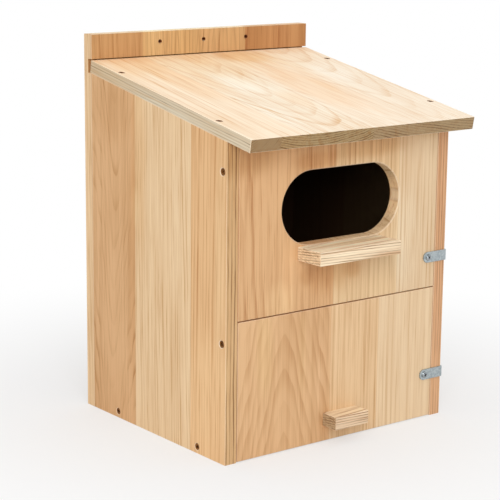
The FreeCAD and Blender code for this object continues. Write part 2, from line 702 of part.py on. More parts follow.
def main():
    doc = FreeCAD.newDocument("duck_house")
    make_sheet(doc)
    make_back_panel(doc)
    make_side(doc, "left_side", True)
    make_side(doc, "right_side", False)
    make_floor(doc)
    make_roof(doc)
    make_upper_front(doc)
    make_lower_front(doc)
    make_trim(doc, "entrance_ledge", "ledge_width", "ledge_depth", "ledge_shift",
              LEDGE_Z, "ledge_screw_inset")
    make_trim(doc, "pull_handle", "handle_width", "handle_depth", "handle_shift",
              "handle_middle - trim_thickness / 2", "handle_screw_inset")
    make_latch_strap(doc, "upper_latch_strap", UPPER_STRAP_Z)
    make_latch_strap(doc, "lower_latch_strap", LOWER_STRAP_Z)
    make_fixed_screws(doc)
    make_flap_screws(doc, "upper", UPPER_PIVOT_Z, "ledge", ledge_screw_spots(), UPPER_STRAP_Z)
    make_flap_screws(doc, "lower", LOWER_PIVOT_Z, "handle", handle_screw_spots(), LOWER_STRAP_Z)
    doc.recompute()
    check_and_write(doc)


main()
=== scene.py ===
"""The looks of a duck house of planed softwood boards, laid over the fixed frame of its solid parts.

All lengths are in metres, in the frame of the solids: +X to the right seen from the front, +Y from the
entrance towards the back board, +Z up, with the origin on the ground in the middle of the box.
"""

from __future__ import annotations

import logging
import math
from collections.abc import Callable, Sequence
from dataclasses import dataclass, field
from enum import Enum

import bmesh
import bpy
from mathutils import Matrix, Vector


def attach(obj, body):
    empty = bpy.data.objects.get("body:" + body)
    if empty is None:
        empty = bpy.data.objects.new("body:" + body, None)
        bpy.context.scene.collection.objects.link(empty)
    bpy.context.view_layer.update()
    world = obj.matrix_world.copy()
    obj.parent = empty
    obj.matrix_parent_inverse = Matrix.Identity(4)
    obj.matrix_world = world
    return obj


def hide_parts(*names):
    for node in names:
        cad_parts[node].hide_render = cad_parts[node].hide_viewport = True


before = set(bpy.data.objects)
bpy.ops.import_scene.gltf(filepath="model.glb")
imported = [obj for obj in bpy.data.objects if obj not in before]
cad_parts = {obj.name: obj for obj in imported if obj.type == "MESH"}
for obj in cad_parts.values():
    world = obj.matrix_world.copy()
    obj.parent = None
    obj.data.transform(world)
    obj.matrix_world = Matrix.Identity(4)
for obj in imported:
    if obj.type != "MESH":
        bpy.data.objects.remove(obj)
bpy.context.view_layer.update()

LOG = logging.getLogger("duck_house")

Colour = tuple[float, float, float]
Point = tuple[float, float, float]
Socket = bpy.types.NodeSocket
Value = Socket | float | Sequence[float]

MM = 0.001
IN_MM = (1000.0, 1000.0, 1000.0)
LEFT, RIGHT, FRONT, REAR = (-1.0, 0.0, 0.0), (1.0, 0.0, 0.0), (0.0, -1.0, 0.0), (0.0, 1.0, 0.0)
UP, DOWN = (0.0, 0.0, 1.0), (0.0, 0.0, -1.0)
SIDE_SEAT = 154.5  # how far from the middle the heads in the side boards sit, in millimetres


def seen(red: int, green: int, blue: int) -> Colour:
    """A colour given as it is seen on a screen, made linear.

    Args:
        red: Red from 0 to 255.
        green: Green from 0 to 255.
        blue: Blue from 0 to 255.

    Returns:
        The linear colour, each channel from 0 to 1.
    """
    shares = (c / 255 for c in (red, green, blue))
    return tuple(s / 12.92 if s <= 0.04045 else ((s + 0.055) / 1.055) ** 2.4 for s in shares)


class Body(str, Enum):
    """The bodies that move against each other."""

    HOUSE = "house"
    UPPER_FLAP = "upper_flap"
    LOWER_FLAP = "lower_flap"


class HeadStyle(Enum):
    """The two shapes of screw head in the house."""

    COUNTERSUNK = "countersunk"
    PAN = "pan"


class NodeGraph:
    """Adds shader nodes to one tree and links them, taking values and sockets alike."""

    def __init__(self, tree: bpy.types.NodeTree) -> None:
        """Starts on a material's or a group's node tree."""
        self.tree = tree

    def put(self, socket: Socket, value: Value) -> None:
        """Links a socket to an input, or sets the input's own value.

        Args:
            socket: The input.
            value: Another node's output, or a plain value.
        """
        if isinstance(value, Socket):
            self.tree.links.new(value, socket)
        elif isinstance(value, Sequence) and len(value) == 3 and socket.type == "RGBA":
            socket.default_value = (*value, 1.0)
        else:
            socket.default_value = value

    def node(self, kind: str, inputs: dict[str | int, Value] | None = None,
             **settings: object) -> bpy.types.Node:
        """Adds one node.

        Args:
            kind: The node's type name.
            inputs: Values or sockets for its inputs, by name or by number.
            **settings: The node's own properties.

        Returns:
            The new node.
        """
        made = self.tree.nodes.new(kind)
        for name, value in settings.items():
            setattr(made, name, value)
        for key, value in (inputs or {}).items():
            self.put(made.inputs[key], value)
        return made

    def math(self, operation: str, *values: Value, clamp: bool = False) -> Socket:
        """Adds a Math node, its operands given in order, and returns its result."""
        return self.node("ShaderNodeMath", dict(enumerate(values)), operation=operation,
                         use_clamp=clamp).outputs[0]

    def vector(self, operation: str, *values: Value) -> Socket:
        """Adds a Vector Math node and returns its vector, or its number for a dot product or a length."""
        made = self.node("ShaderNodeVectorMath", dict(enumerate(values)), operation=operation)
        return made.outputs["Value" if operation in ("DOT_PRODUCT", "LENGTH") else "Vector"]

    def scale(self, vector: Value, factor: Value) -> Socket:
        """Scales a vector by a number."""
        return self.node("ShaderNodeVectorMath", {0: vector, "Scale": factor}, operation="SCALE").outputs[0]

    def split(self, vector: Value) -> Sequence[Socket]:
        """Splits a vector into its three numbers."""
        return self.node("ShaderNodeSeparateXYZ", {0: vector}).outputs

    def combine(self, *numbers: Value) -> Socket:
        """Makes a vector of its first numbers, the rest being zero."""
        return self.node("ShaderNodeCombineXYZ", dict(enumerate(numbers))).outputs[0]

    def smooth(self, value: Value, low: Value, high: Value, start: Value = 0.0,
               end: Value = 1.0) -> Socket:
        """Eases from the start to the end as a number passes from the low limit to the high one."""
        values = {"Value": value, "From Min": low, "From Max": high, "To Min": start, "To Max": end}
        return self.node("ShaderNodeMapRange", values, interpolation_type="SMOOTHSTEP").outputs[0]

    def mix(self, factor: Value, first: Value, second: Value, blend: str = "MIX") -> Socket:
        """Mixes two colours.

        Args:
            factor: How far towards the second.
            first: The first colour.
            second: The second colour.
            blend: The way that the second is laid on the first.

        Returns:
            The mixed colour's socket.
        """
        made = self.tree.nodes.new("ShaderNodeMix")
        made.data_type, made.blend_type = "RGBA", blend
        for socket, value in ((made.inputs[0], factor), (made.inputs[6], first), (made.inputs[7], second)):
            self.put(socket, value)
        return made.outputs[2]

    def noise(self, place: Value, scale: float = 1.0, detail: float = 2.0,
              rough: float = 0.5) -> bpy.types.Node:
        """Adds a Noise Texture, whose first output is a number and whose second is a colour."""
        values = {"Vector": place, "Scale": scale, "Detail": detail, "Roughness": rough}
        return self.node("ShaderNodeTexNoise", values)

    def lumps(self, place: Value, fineness: Point, detail: float = 2.0, rough: float = 0.5) -> Socket:
        """Adds noise with its own number of lumps in a unit along each axis, and returns its number."""
        return self.noise(self.vector("MULTIPLY", place, fineness), detail=detail, rough=rough).outputs[0]

    def rings(self, count: Value, seed: Value) -> tuple[Socket, Socket]:
        """Splits a running count of rings.

        Args:
            count: The count, in rings and parts of one.
            seed: What makes the weights differ from another board's.

        Returns:
            The place within a ring, from zero to one, and that ring's own random weight.
        """
        year = {"Vector": self.combine(self.math("FLOOR", count), seed)}
        weight = self.node("ShaderNodeTexWhiteNoise", year, noise_dimensions="2D").outputs[0]
        return self.math("FRACT", count), weight


def blank_material(name: str) -> tuple[bpy.types.Material, NodeGraph]:
    """Makes a material with an empty node tree.

    Args:
        name: The material's name.

    Returns:
        The material and the graph to build it in.
    """
    made = bpy.data.materials.new(name)
    made.use_nodes = True
    made.node_tree.nodes.clear()
    return made, NodeGraph(made.node_tree)


def shader_group(name: str, inputs: dict[str, object],
                 outputs: dict[str, str]) -> tuple[NodeGraph, dict[str, Socket], bpy.types.Node]:
    """Starts a shader node group with named sockets.

    Args:
        name: The group's name.
        inputs: For each input, a number, a colour of four numbers, or a vector of three.
        outputs: For each output, its socket type's last word, such as Color.

    Returns:
        The graph to build in, the group's input sockets by name, and the node that takes its results.
    """
    tree = bpy.data.node_groups.new(name, "ShaderNodeTree")
    for key, value in inputs.items():
        size = len(value) if isinstance(value, Sequence) else 1
        kind = {1: "Float", 3: "Vector", 4: "Color"}[size]
        entrance = tree.interface.new_socket(name=key, in_out="INPUT", socket_type=f"NodeSocket{kind}")
        entrance.default_value = value
    for key, kind in outputs.items():
        tree.interface.new_socket(name=key, in_out="OUTPUT", socket_type=f"NodeSocket{kind}")
    graph = NodeGraph(tree)
    entry = graph.node("NodeGroupInput")
    return graph, {key: entry.outputs[key] for key in inputs}, graph.node("NodeGroupOutput")


def ring_grain_group() -> bpy.types.NodeTree:
    """Builds the group that cuts a strip of wood out of a tree: its rings, fibres and flecks.

    The position is in millimetres: X across the strip, Y into it and Z along its grain. The rings lie round
    the tree's heart, a line that leans past the strip, and Taper makes them cones, so that a face shows
    straight lines or arches, and an end shows the rings themselves, as the cut goes.

    Returns:
        The node group.
    """
    inputs = {"Position": (0.0, 0.0, 0.0), "Heart": (0.0, 60.0, 0.0), "Lean": (0.0, 0.0, 0.0), "Taper": 0.0,
              "Ring Width": 5.0, "Late Share": 0.5, "Uneven": 3.0, "Waver": 6.0, "Seed": 0.0,
              "Pale": (0.8, 0.6, 0.4, 1.0), "Dark": (0.5, 0.3, 0.15, 1.0), "Line": 0.8, "Fibre": 0.1}
    graph, given, result = shader_group("Ring grain", inputs, {"Color": "Color", "Relief": "Float"})
    seeded = graph.vector("MULTIPLY_ADD", given["Seed"], (17.3, 9.1, 31.7), given["Position"])
    along = graph.split(given["Position"])[2]

    # The heart leans, and the rings waver round it, slowly along the board and a little quicker across it.
    slow = graph.noise(graph.vector("MULTIPLY", seeded, (0.011, 0.011, 0.0042)), detail=1.0).outputs[1]
    quick = graph.noise(graph.vector("MULTIPLY", seeded, (0.07, 0.07, 0.011)), detail=2.0).outputs[1]
    slow, quick = (graph.vector("SUBTRACT", noise, (0.5, 0.5, 0.5)) for noise in (slow, quick))
    wander = graph.vector("ADD", slow, graph.scale(quick, 0.12))
    wander = graph.scale(wander, graph.math("MULTIPLY", given["Waver"], 2.0))
    heart = graph.vector("ADD", graph.scale(given["Lean"], along), given["Heart"])
    off = graph.vector("ADD", graph.vector("SUBTRACT", given["Position"], heart), wander)
    radius = graph.vector("LENGTH", graph.vector("MULTIPLY", off, (1.0, 1.0, 0.0)))

    # Good and poor years widen and narrow the rings, and each ring has its own weight.
    seasons = graph.combine(graph.math("MULTIPLY", radius, 0.05), given["Seed"])
    uneven = graph.math("SUBTRACT", graph.noise(seasons, detail=2.0).outputs[0], 0.5)
    cone = graph.math("MULTIPLY_ADD", along, given["Taper"], radius)
    count = graph.math("DIVIDE", cone, given["Ring Width"])
    phase, weight = graph.rings(graph.math("MULTIPLY_ADD", uneven, given["Uneven"], count), given["Seed"])
    weight = graph.math("MULTIPLY_ADD", graph.math("POWER", weight, 1.6), 0.8, 0.2)

    # The dark late wood rises softly, ends sharply at the ring's edge, and fades in places along the board.
    ring_end = 0.93
    early = graph.math("SUBTRACT", ring_end, given["Late Share"])
    late = graph.math("MULTIPLY", graph.smooth(phase, early, ring_end),
                      graph.smooth(phase, ring_end, 1.0, 1.0, 0.0))
    fade = graph.smooth(graph.lumps(seeded, (0.03, 0.03, 0.008)), 0.3, 0.65, 0.25, 1.3)
    late = graph.math("MULTIPLY", graph.math("MULTIPLY", late, weight), fade)

    # Bands and clouds of tone, then streaks and fibres.
    band = graph.lumps(seeded, (0.2, 0.2, 0.003), 3.0, 0.65)
    streak = graph.lumps(seeded, (0.62, 0.62, 0.014), 2.0, 0.6)
    fibre = graph.lumps(seeded, (1.7, 1.7, 0.03), 3.0, 0.6)
    cloud = graph.lumps(seeded, (0.018, 0.018, 0.006))
    depth = graph.math("MULTIPLY", late, given["Line"])
    for texture, gain in ((band, 1.3), (cloud, 0.8)):
        depth = graph.math("MULTIPLY_ADD", graph.math("SUBTRACT", texture, 0.5), gain, depth)
    grit = graph.math("ADD", graph.smooth(streak, 0.5, 0.75), graph.math("SUBTRACT", fibre, 0.6))
    depth = graph.math("ADD", graph.math("MULTIPLY_ADD", grit, given["Fibre"], depth), 0.15, clamp=True)
    relief = graph.math("SUBTRACT", graph.math("MULTIPLY", fibre, 0.6), graph.math("MULTIPLY", late, 0.5))
    graph.put(result.inputs["Color"], graph.mix(depth, given["Pale"], given["Dark"]))
    graph.put(result.inputs["Relief"], relief)
    return graph.tree


def face_tone_group() -> bpy.types.NodeTree:
    """Builds the group that tones the faces that look one way, in places as painted light and shade, and
    draws an edge's thin ring lines on them.

    The lines lie round their own heart, in millimetres across and into the board. From and To limit them
    across the board, and Tilt slopes them along it.

    Returns:
        The node group.
    """
    inputs = {"Color": (0.8, 0.6, 0.4, 1.0), "Position": (0.0, 0.0, 0.0), "Normal": (0.0, 0.0, 1.0),
              "Facing": (0.0, 0.0, 1.0), "Tone": (1.0, 1.0, 1.0, 1.0), "Both Ways": 0.0,
              "Heart": (0.0, -1000.0, 0.0),
              "Spacing": 3.0, "Tilt": 0.0, "Wander": 3.0, "Lines": 0.0, "From": -1000.0, "To": 1000.0,
              "Seed": 0.0}
    graph, given, result = shader_group("Face tone", inputs, {"Color": "Color"})
    turned = graph.vector("DOT_PRODUCT", given["Normal"], given["Facing"])
    behind = graph.math("MULTIPLY", graph.math("ABSOLUTE", turned), given["Both Ways"])
    place = graph.split(given["Position"])
    share = graph.smooth(graph.math("MAXIMUM", turned, behind), 0.75, 0.95)
    for operation, limit in (("GREATER_THAN", "From"), ("LESS_THAN", "To")):
        share = graph.math("MULTIPLY", share, graph.math(operation, place[0], given[limit]))

    # The lines' distance from their heart, which wanders slowly, with a quarter of a quicker wander on it.
    seeded = graph.vector("MULTIPLY_ADD", given["Seed"], (13.7, 5.3, 29.9), given["Position"])
    slow = graph.lumps(seeded, (0.02, 0.02, 0.007))
    quick = graph.lumps(seeded, (0.2, 0.2, 0.04), 1.0)
    wander = graph.math("SUBTRACT", graph.math("MULTIPLY_ADD", quick, 0.25, slow), 0.62)
    wander = graph.math("MULTIPLY", wander, given["Wander"])
    away = graph.vector("MULTIPLY", graph.vector("SUBTRACT", given["Position"], given["Heart"]),
                        (1.0, 1.0, 0.0))
    away = graph.math("MULTIPLY_ADD", place[2], given["Tilt"], graph.vector("LENGTH", away))
    count = graph.math("DIVIDE", graph.math("ADD", away, wander), given["Spacing"])
    phase, weight = graph.rings(count, given["Seed"])

    # Each line is dark from about the middle of its ring to its end, and fades in places along the board.
    line = graph.math("MULTIPLY", graph.smooth(phase, 0.45, 0.8), graph.smooth(phase, 0.84, 1.0, 1.0, 0.0))
    line = graph.math("MULTIPLY", line, graph.math("MULTIPLY_ADD", weight, 0.75, 0.25))
    fade = graph.smooth(graph.lumps(seeded, (0.1, 0.1, 0.018)), 0.35, 0.6, 0.4, 1.0)
    line = graph.math("MULTIPLY", graph.math("MULTIPLY", line, fade), given["Lines"], clamp=True)
    toned = graph.mix(1.0, given["Color"], given["Tone"], "MULTIPLY")
    toned = graph.mix(line, toned, (0.42, 0.34, 0.26), "MULTIPLY")
    graph.put(result.inputs["Color"], graph.mix(share, given["Color"], toned))
    return graph.tree


def patch_group() -> bpy.types.NodeTree:
    """Builds the group that tints a soft, ragged patch of a board, such as a reddish streak, a pale flame, a
    painted shadow and the painted shade in a hole.

    Returns:
        The node group.
    """
    inputs = {"Color": (0.8, 0.6, 0.4, 1.0), "Position": (0.0, 0.0, 0.0), "Centre": (0.0, 0.0, 0.0),
              "Radii": (30.0, 30.0, 60.0), "Tone": (1.0, 1.0, 1.0, 1.0), "Ragged": 0.6}
    graph, given, result = shader_group("Patch", inputs, {"Color": "Color"})
    off = graph.vector("DIVIDE", graph.vector("SUBTRACT", given["Position"], given["Centre"]), given["Radii"])
    lumps = graph.math("SUBTRACT", graph.lumps(given["Position"], (0.07, 0.07, 0.012), 3.0), 0.5)
    reach = graph.math("MULTIPLY_ADD", lumps, given["Ragged"], graph.vector("LENGTH", off))
    share = graph.smooth(reach, 0.35, 1.15, 1.0, 0.0)
    graph.put(result.inputs["Color"], graph.mix(share, given["Color"], given["Tone"], "MULTIPLY"))
    return graph.tree


def eased_edge_highlight_group() -> bpy.types.NodeTree:
    """Builds the group that paints a highlight on the narrow slants where a board's edges are eased.

    Returns:
        The node group.
    """
    inputs = {"Color": (0.8, 0.6, 0.4, 1.0), "Normal": (0.0, 0.0, 1.0), "Facing": (0.0, -1.0, 0.0),
              "Lift": 0.5}
    graph, given, result = shader_group("Eased edge highlight", inputs, {"Color": "Color"})
    turned = graph.math("ABSOLUTE", graph.vector("DOT_PRODUCT", given["Normal"], given["Facing"]))
    slant = graph.math("MULTIPLY", graph.smooth(turned, 0.5, 0.62), graph.smooth(turned, 0.78, 0.9, 1.0, 0.0))
    share = graph.math("MULTIPLY", slant, given["Lift"])
    graph.put(result.inputs["Color"], graph.mix(share, given["Color"], (0.93, 0.82, 0.66)))
    return graph.tree


def nest_shade_group() -> bpy.types.NodeTree:
    """Builds the group that paints shade on the faces round the nest chamber, under the sloping roof.

    Openness is how much of the air in front of a point is free, so the closed chamber is as dark as the photo
    shows, and the open one shows its wood.

    Returns:
        The node group.
    """
    inputs = {"Color": (0.8, 0.6, 0.4, 1.0), "Position": (0.0, 0.0, 0.0), "Half Width": 0.1405,
              "Half Depth": 0.1195, "Roof At Middle": 0.3716, "Roof Slope": 0.1817, "Openness": 1.0,
              "Shade": (0.06, 0.045, 0.03, 1.0)}
    graph, given, result = shader_group("Nest shade", inputs, {"Color": "Color"})
    place = graph.split(given["Position"])
    height = graph.math("SUBTRACT", place[2], graph.math("MULTIPLY", place[1], given["Roof Slope"]))
    inside = graph.math("LESS_THAN", graph.math("ABSOLUTE", place[0]), given["Half Width"])
    for test in (graph.math("LESS_THAN", graph.math("ABSOLUTE", place[1]), given["Half Depth"]),
                 graph.math("LESS_THAN", height, given["Roof At Middle"]),
                 graph.smooth(place[2], 0.012, 0.0145)):
        inside = graph.math("MULTIPLY", inside, test)
    shade = graph.mix(graph.smooth(given["Openness"], 0.08, 0.22), given["Shade"], (1.0, 1.0, 1.0))
    shaded = graph.mix(1.0, given["Color"], shade, "MULTIPLY")
    graph.put(result.inputs["Color"], graph.mix(inside, given["Color"], shaded))
    return graph.tree


def metal_wear_group() -> bpy.types.NodeTree:
    """Builds the group that mottles a metal's colour and roughness with spangle, rub marks and scratches.

    Returns:
        The node group.
    """
    inputs = {"Position": (0.0, 0.0, 0.0), "Bright": (0.6, 0.6, 0.6, 1.0), "Dull": (0.4, 0.4, 0.4, 1.0),
              "Grain Size": 2.0, "Roughness": 0.4}
    outputs = {"Color": "Color", "Roughness": "Float", "Relief": "Float"}
    graph, given, result = shader_group("Metal wear", inputs, outputs)
    scaled = graph.scale(given["Position"], graph.math("DIVIDE", 1.0, given["Grain Size"]))
    spangle = graph.node("ShaderNodeTexVoronoi", {"Vector": scaled, "Scale": 1.0}).outputs["Color"]
    spangle = graph.split(spangle)[0]
    rub = graph.noise(given["Position"], 0.35, 3.0, 0.6).outputs[0]
    scratch = graph.lumps(given["Position"], (0.5, 0.5, 9.0), 3.0)
    mottle = graph.math("ADD", graph.math("MULTIPLY", spangle, 0.35), graph.math("MULTIPLY", rub, 0.65))
    graph.put(result.inputs["Color"],
              graph.mix(graph.smooth(mottle, 0.25, 0.75), given["Bright"], given["Dull"]))
    rough = graph.math("MULTIPLY_ADD", graph.math("SUBTRACT", mottle, 0.5), 0.3, given["Roughness"])
    rough = graph.math("MULTIPLY_ADD", graph.math("SUBTRACT", scratch, 0.5), 0.25, rough)
    graph.put(result.inputs["Roughness"], rough)
    graph.put(result.inputs["Relief"], scratch)
    return graph.tree


def use_group(graph: NodeGraph, name: str, values: dict[str, Value]) -> bpy.types.Node:
    """Places a shared group in a material.

    Args:
        graph: The material's graph.
        name: The group's name.
        values: What its inputs take, by name.

    Returns:
        The group's node.
    """
    placed = graph.node("ShaderNodeGroup", node_tree=bpy.data.node_groups[name])
    for key, value in values.items():
        graph.put(placed.inputs[key], value)
    return placed


@dataclass(frozen=True)
class Stave:
    """One of the strips that are glued edge to edge into a board.

    Its place in the tree is given by the heart, in millimetres across and into the board. Pale and dark are
    the colours of the early and the late wood as they are seen, from 0 to 255.
    """

    ends_at: float
    pale: tuple[int, int, int]
    dark: tuple[int, int, int]
    heart: tuple[float, float]
    lean: tuple[float, float] = (0.0, 0.0)
    ring_width: float = 5.0
    taper: float = 0.0
    late_share: float = 0.5
    uneven: float = 3.0
    waver: float = 5.0
    line: float = 0.6
    fibre: float = 0.6
    seed: float = 0.0


@dataclass(frozen=True)
class FaceTone:
    """A tone for the faces that look along a direction, in places painted light and shade, with thin lines on
    them where lines is above zero.

    The heart of the lines is in millimetres across and into the board, as a stave's is. Their limits are in
    millimetres across it.
    """

    facing: Point
    tone: Colour
    both_ways: bool = False
    lines: float = 0.0
    heart: tuple[float, float] = (0.0, -1000.0)
    spacing: float = 3.0
    tilt: float = 0.0
    wander: float = 3.0
    limits: tuple[float, float] = (-1000.0, 1000.0)
    seed: float = 0.0


@dataclass(frozen=True)
class Patch:
    """A soft patch of another tone, some of them painted shadows and shade, placed in millimetres across,
    into and along the board.
    """

    centre: Point
    radii: Point
    tone: Colour
    ragged: float = 0.6


@dataclass(frozen=True)
class WoodFinish:
    """Planed softwood with no coating on it.

    The air's reach is how far a point looks for free air, to tell how open the nest chamber is and how much
    shade to paint in it.
    """

    roughness: float = 0.62
    gloss: float = 0.3
    relief_depth: float = 0.00012
    air_reach: float = 0.6
    air_samples: int = 24

    def place_on_board(self, graph: NodeGraph, board: Board, source: bpy.types.Node) -> Socket:
        """Turns a point of the house into millimetres across, into and along a board.

        Args:
            graph: The material's graph.
            board: The board.
            source: The material's Texture Coordinate node.

        Returns:
            The place on the board.
        """
        turn = Matrix((board.across, board.through, board.along))
        values = {"Vector": source.outputs["Object"], "Location": tuple(-(turn @ Vector(board.corner))),
                  "Rotation": tuple(turn.to_euler("XYZ"))}
        place = graph.node("ShaderNodeMapping", values).outputs[0]
        return graph.vector("MULTIPLY", place, IN_MM)

    def glue_up(self, graph: NodeGraph, board: Board, place: Socket) -> tuple[Socket, ...]:
        """Lays a board's staves side by side, with a fine dark glue line between them.

        Args:
            graph: The material's graph.
            board: The board.
            place: The place on the board.

        Returns:
            The colour and the relief.
        """
        across = graph.split(place)[0]
        found: tuple[Socket, ...] = ()
        start = 0.0
        for stave in board.staves:
            values = {"Position": place, "Heart": (*stave.heart, 0.0), "Lean": (*stave.lean, 0.0),
                      "Taper": stave.taper, "Ring Width": stave.ring_width, "Late Share": stave.late_share,
                      "Uneven": stave.uneven, "Waver": stave.waver, "Seed": stave.seed,
                      "Pale": seen(*stave.pale), "Dark": seen(*stave.dark), "Line": stave.line,
                      "Fibre": stave.fibre}
            grain = use_group(graph, "Ring grain", values)
            strip = (grain.outputs["Color"], grain.outputs["Relief"])
            if found:
                past = graph.math("GREATER_THAN", across, start)
                joint = graph.math("ABSOLUTE", graph.math("SUBTRACT", across, start))
                glue = graph.smooth(joint, 0.1, 0.45, 0.22, 0.0)
                colour = graph.mix(glue, graph.mix(past, found[0], strip[0]), (0.45, 0.3, 0.18), "MULTIPLY")
                strip = (colour, graph.node("ShaderNodeMix", {0: past, 2: found[1], 3: strip[1]}).outputs[0])
            found = strip
            start = stave.ends_at
        return found

    def material(self, board: Board) -> bpy.types.Material:
        """Makes a board's wood: staves, patches, face tones, the painted highlight on eased edges and the
        nest's painted shade.

        Args:
            board: The board, which says how its grain runs.

        Returns:
            The material.
        """
        made, graph = blank_material(f"{board.node} wood")
        source = graph.node("ShaderNodeTexCoord")
        normal = source.outputs["Normal"]
        place = self.place_on_board(graph, board, source)
        colour, relief = self.glue_up(graph, board, place)
        outwards = tuple(-c for c in board.through)
        values = {"Color": colour, "Normal": normal, "Facing": outwards, "Lift": board.edge_highlight}
        colour = use_group(graph, "Eased edge highlight", values).outputs[0]
        for patch in board.patches:
            values = {"Color": colour, "Position": place, "Centre": patch.centre, "Radii": patch.radii,
                      "Tone": patch.tone, "Ragged": patch.ragged}
            colour = use_group(graph, "Patch", values).outputs[0]
        for face in board.tones:
            values = {"Color": colour, "Position": place, "Normal": normal, "Facing": face.facing,
                      "Tone": face.tone, "Both Ways": float(face.both_ways), "Heart": (*face.heart, 0.0),
                      "Spacing": face.spacing, "Tilt": face.tilt, "Wander": face.wander, "Lines": face.lines,
                      "From": face.limits[0], "To": face.limits[1], "Seed": face.seed}
            colour = use_group(graph, "Face tone", values).outputs[0]
        # Painted shade round the nest chamber, deeper the less free air there is in front of a point.
        air = graph.node("ShaderNodeAmbientOcclusion", {"Distance": self.air_reach}, samples=self.air_samples)
        values = {"Color": colour, "Position": source.outputs["Object"], "Openness": air.outputs["AO"]}
        colour = use_group(graph, "Nest shade", values).outputs[0]
        bump = {"Height": relief, "Strength": 0.6, "Distance": self.relief_depth}
        values = {"Base Color": colour, "Roughness": self.roughness, "Specular IOR Level": self.gloss,
                  "Normal": graph.node("ShaderNodeBump", bump).outputs[0]}
        shader = graph.node("ShaderNodeBsdfPrincipled", values)
        graph.node("ShaderNodeOutputMaterial", {"Surface": shader.outputs[0]})
        return made


@dataclass(frozen=True)
class MetalFinish:
    """A plated metal, mottled and lightly rubbed."""

    name: str
    bright: Colour
    dull: Colour
    grain_size: float
    roughness: float
    relief_depth: float = 0.00003

    def material(self) -> bpy.types.Material:
        """Makes the metal's material.

        Returns:
            The material.
        """
        made, graph = blank_material(self.name)
        place = graph.node("ShaderNodeTexCoord").outputs["Object"]
        place = graph.vector("MULTIPLY", place, IN_MM)
        values = {"Position": place, "Bright": self.bright, "Dull": self.dull, "Grain Size": self.grain_size,
                  "Roughness": self.roughness}
        rubbed = use_group(graph, "Metal wear", values)
        bump = {"Height": rubbed.outputs["Relief"], "Strength": 0.4, "Distance": self.relief_depth}
        values = {"Base Color": rubbed.outputs["Color"], "Metallic": 1.0,
                  "Roughness": rubbed.outputs["Roughness"],
                  "Normal": graph.node("ShaderNodeBump", bump).outputs[0]}
        shader = graph.node("ShaderNodeBsdfPrincipled", values)
        graph.node("ShaderNodeOutputMaterial", {"Surface": shader.outputs[0]})
        return made


@dataclass
class Board:
    """A wooden board of the frame and the way its grain lies."""

    node: str
    across: Point
    through: Point
    along: Point
    corner: Point
    staves: tuple[Stave, ...]
    tones: tuple[FaceTone, ...] = ()
    patches: tuple[Patch, ...] = ()
    # How strongly a highlight is painted on the eased edges.
    edge_highlight: float = 0.4
    finish: WoodFinish = field(default_factory=WoodFinish)

    def dress(self) -> None:
        """Gives the board its wood."""
        wear(self.node, self.finish.material(self))
        LOG.info("dressed %s, %d staves", self.node, len(self.staves))


def wear(node: str, material: bpy.types.Material) -> None:
    """Puts one material on a solid of the frame.

    Args:
        node: The solid's name.
        material: Its material.
    """
    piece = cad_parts[node]
    piece.data.materials.clear()
    piece.data.materials.append(material)


def only(piece: bpy.types.Object) -> None:
    """Selects one object alone and makes it the active one.

    Args:
        piece: The object.
    """
    bpy.ops.object.select_all(action="DESELECT")
    piece.select_set(True)
    bpy.context.view_layer.objects.active = piece


def pick_faces(piece: bpy.types.Object, test: Callable[[bmesh.types.BMFace], bool]) -> None:
    """Selects the faces of the object in edit mode that pass a test, and no others.

    Args:
        piece: The object in edit mode.
        test: What a face must pass.
    """
    bpy.ops.mesh.select_all(action="DESELECT")
    mesh = bmesh.from_edit_mesh(piece.data)
    for face in mesh.faces:
        face.select_set(test(face))
    bmesh.update_edit_mesh(piece.data)


@dataclass(frozen=True)
class Spot:
    """Where a screw sits: the middle of its head's top in millimetres, and the way that its head faces."""

    place: Point
    faces: Point
    spin: float = 0.0


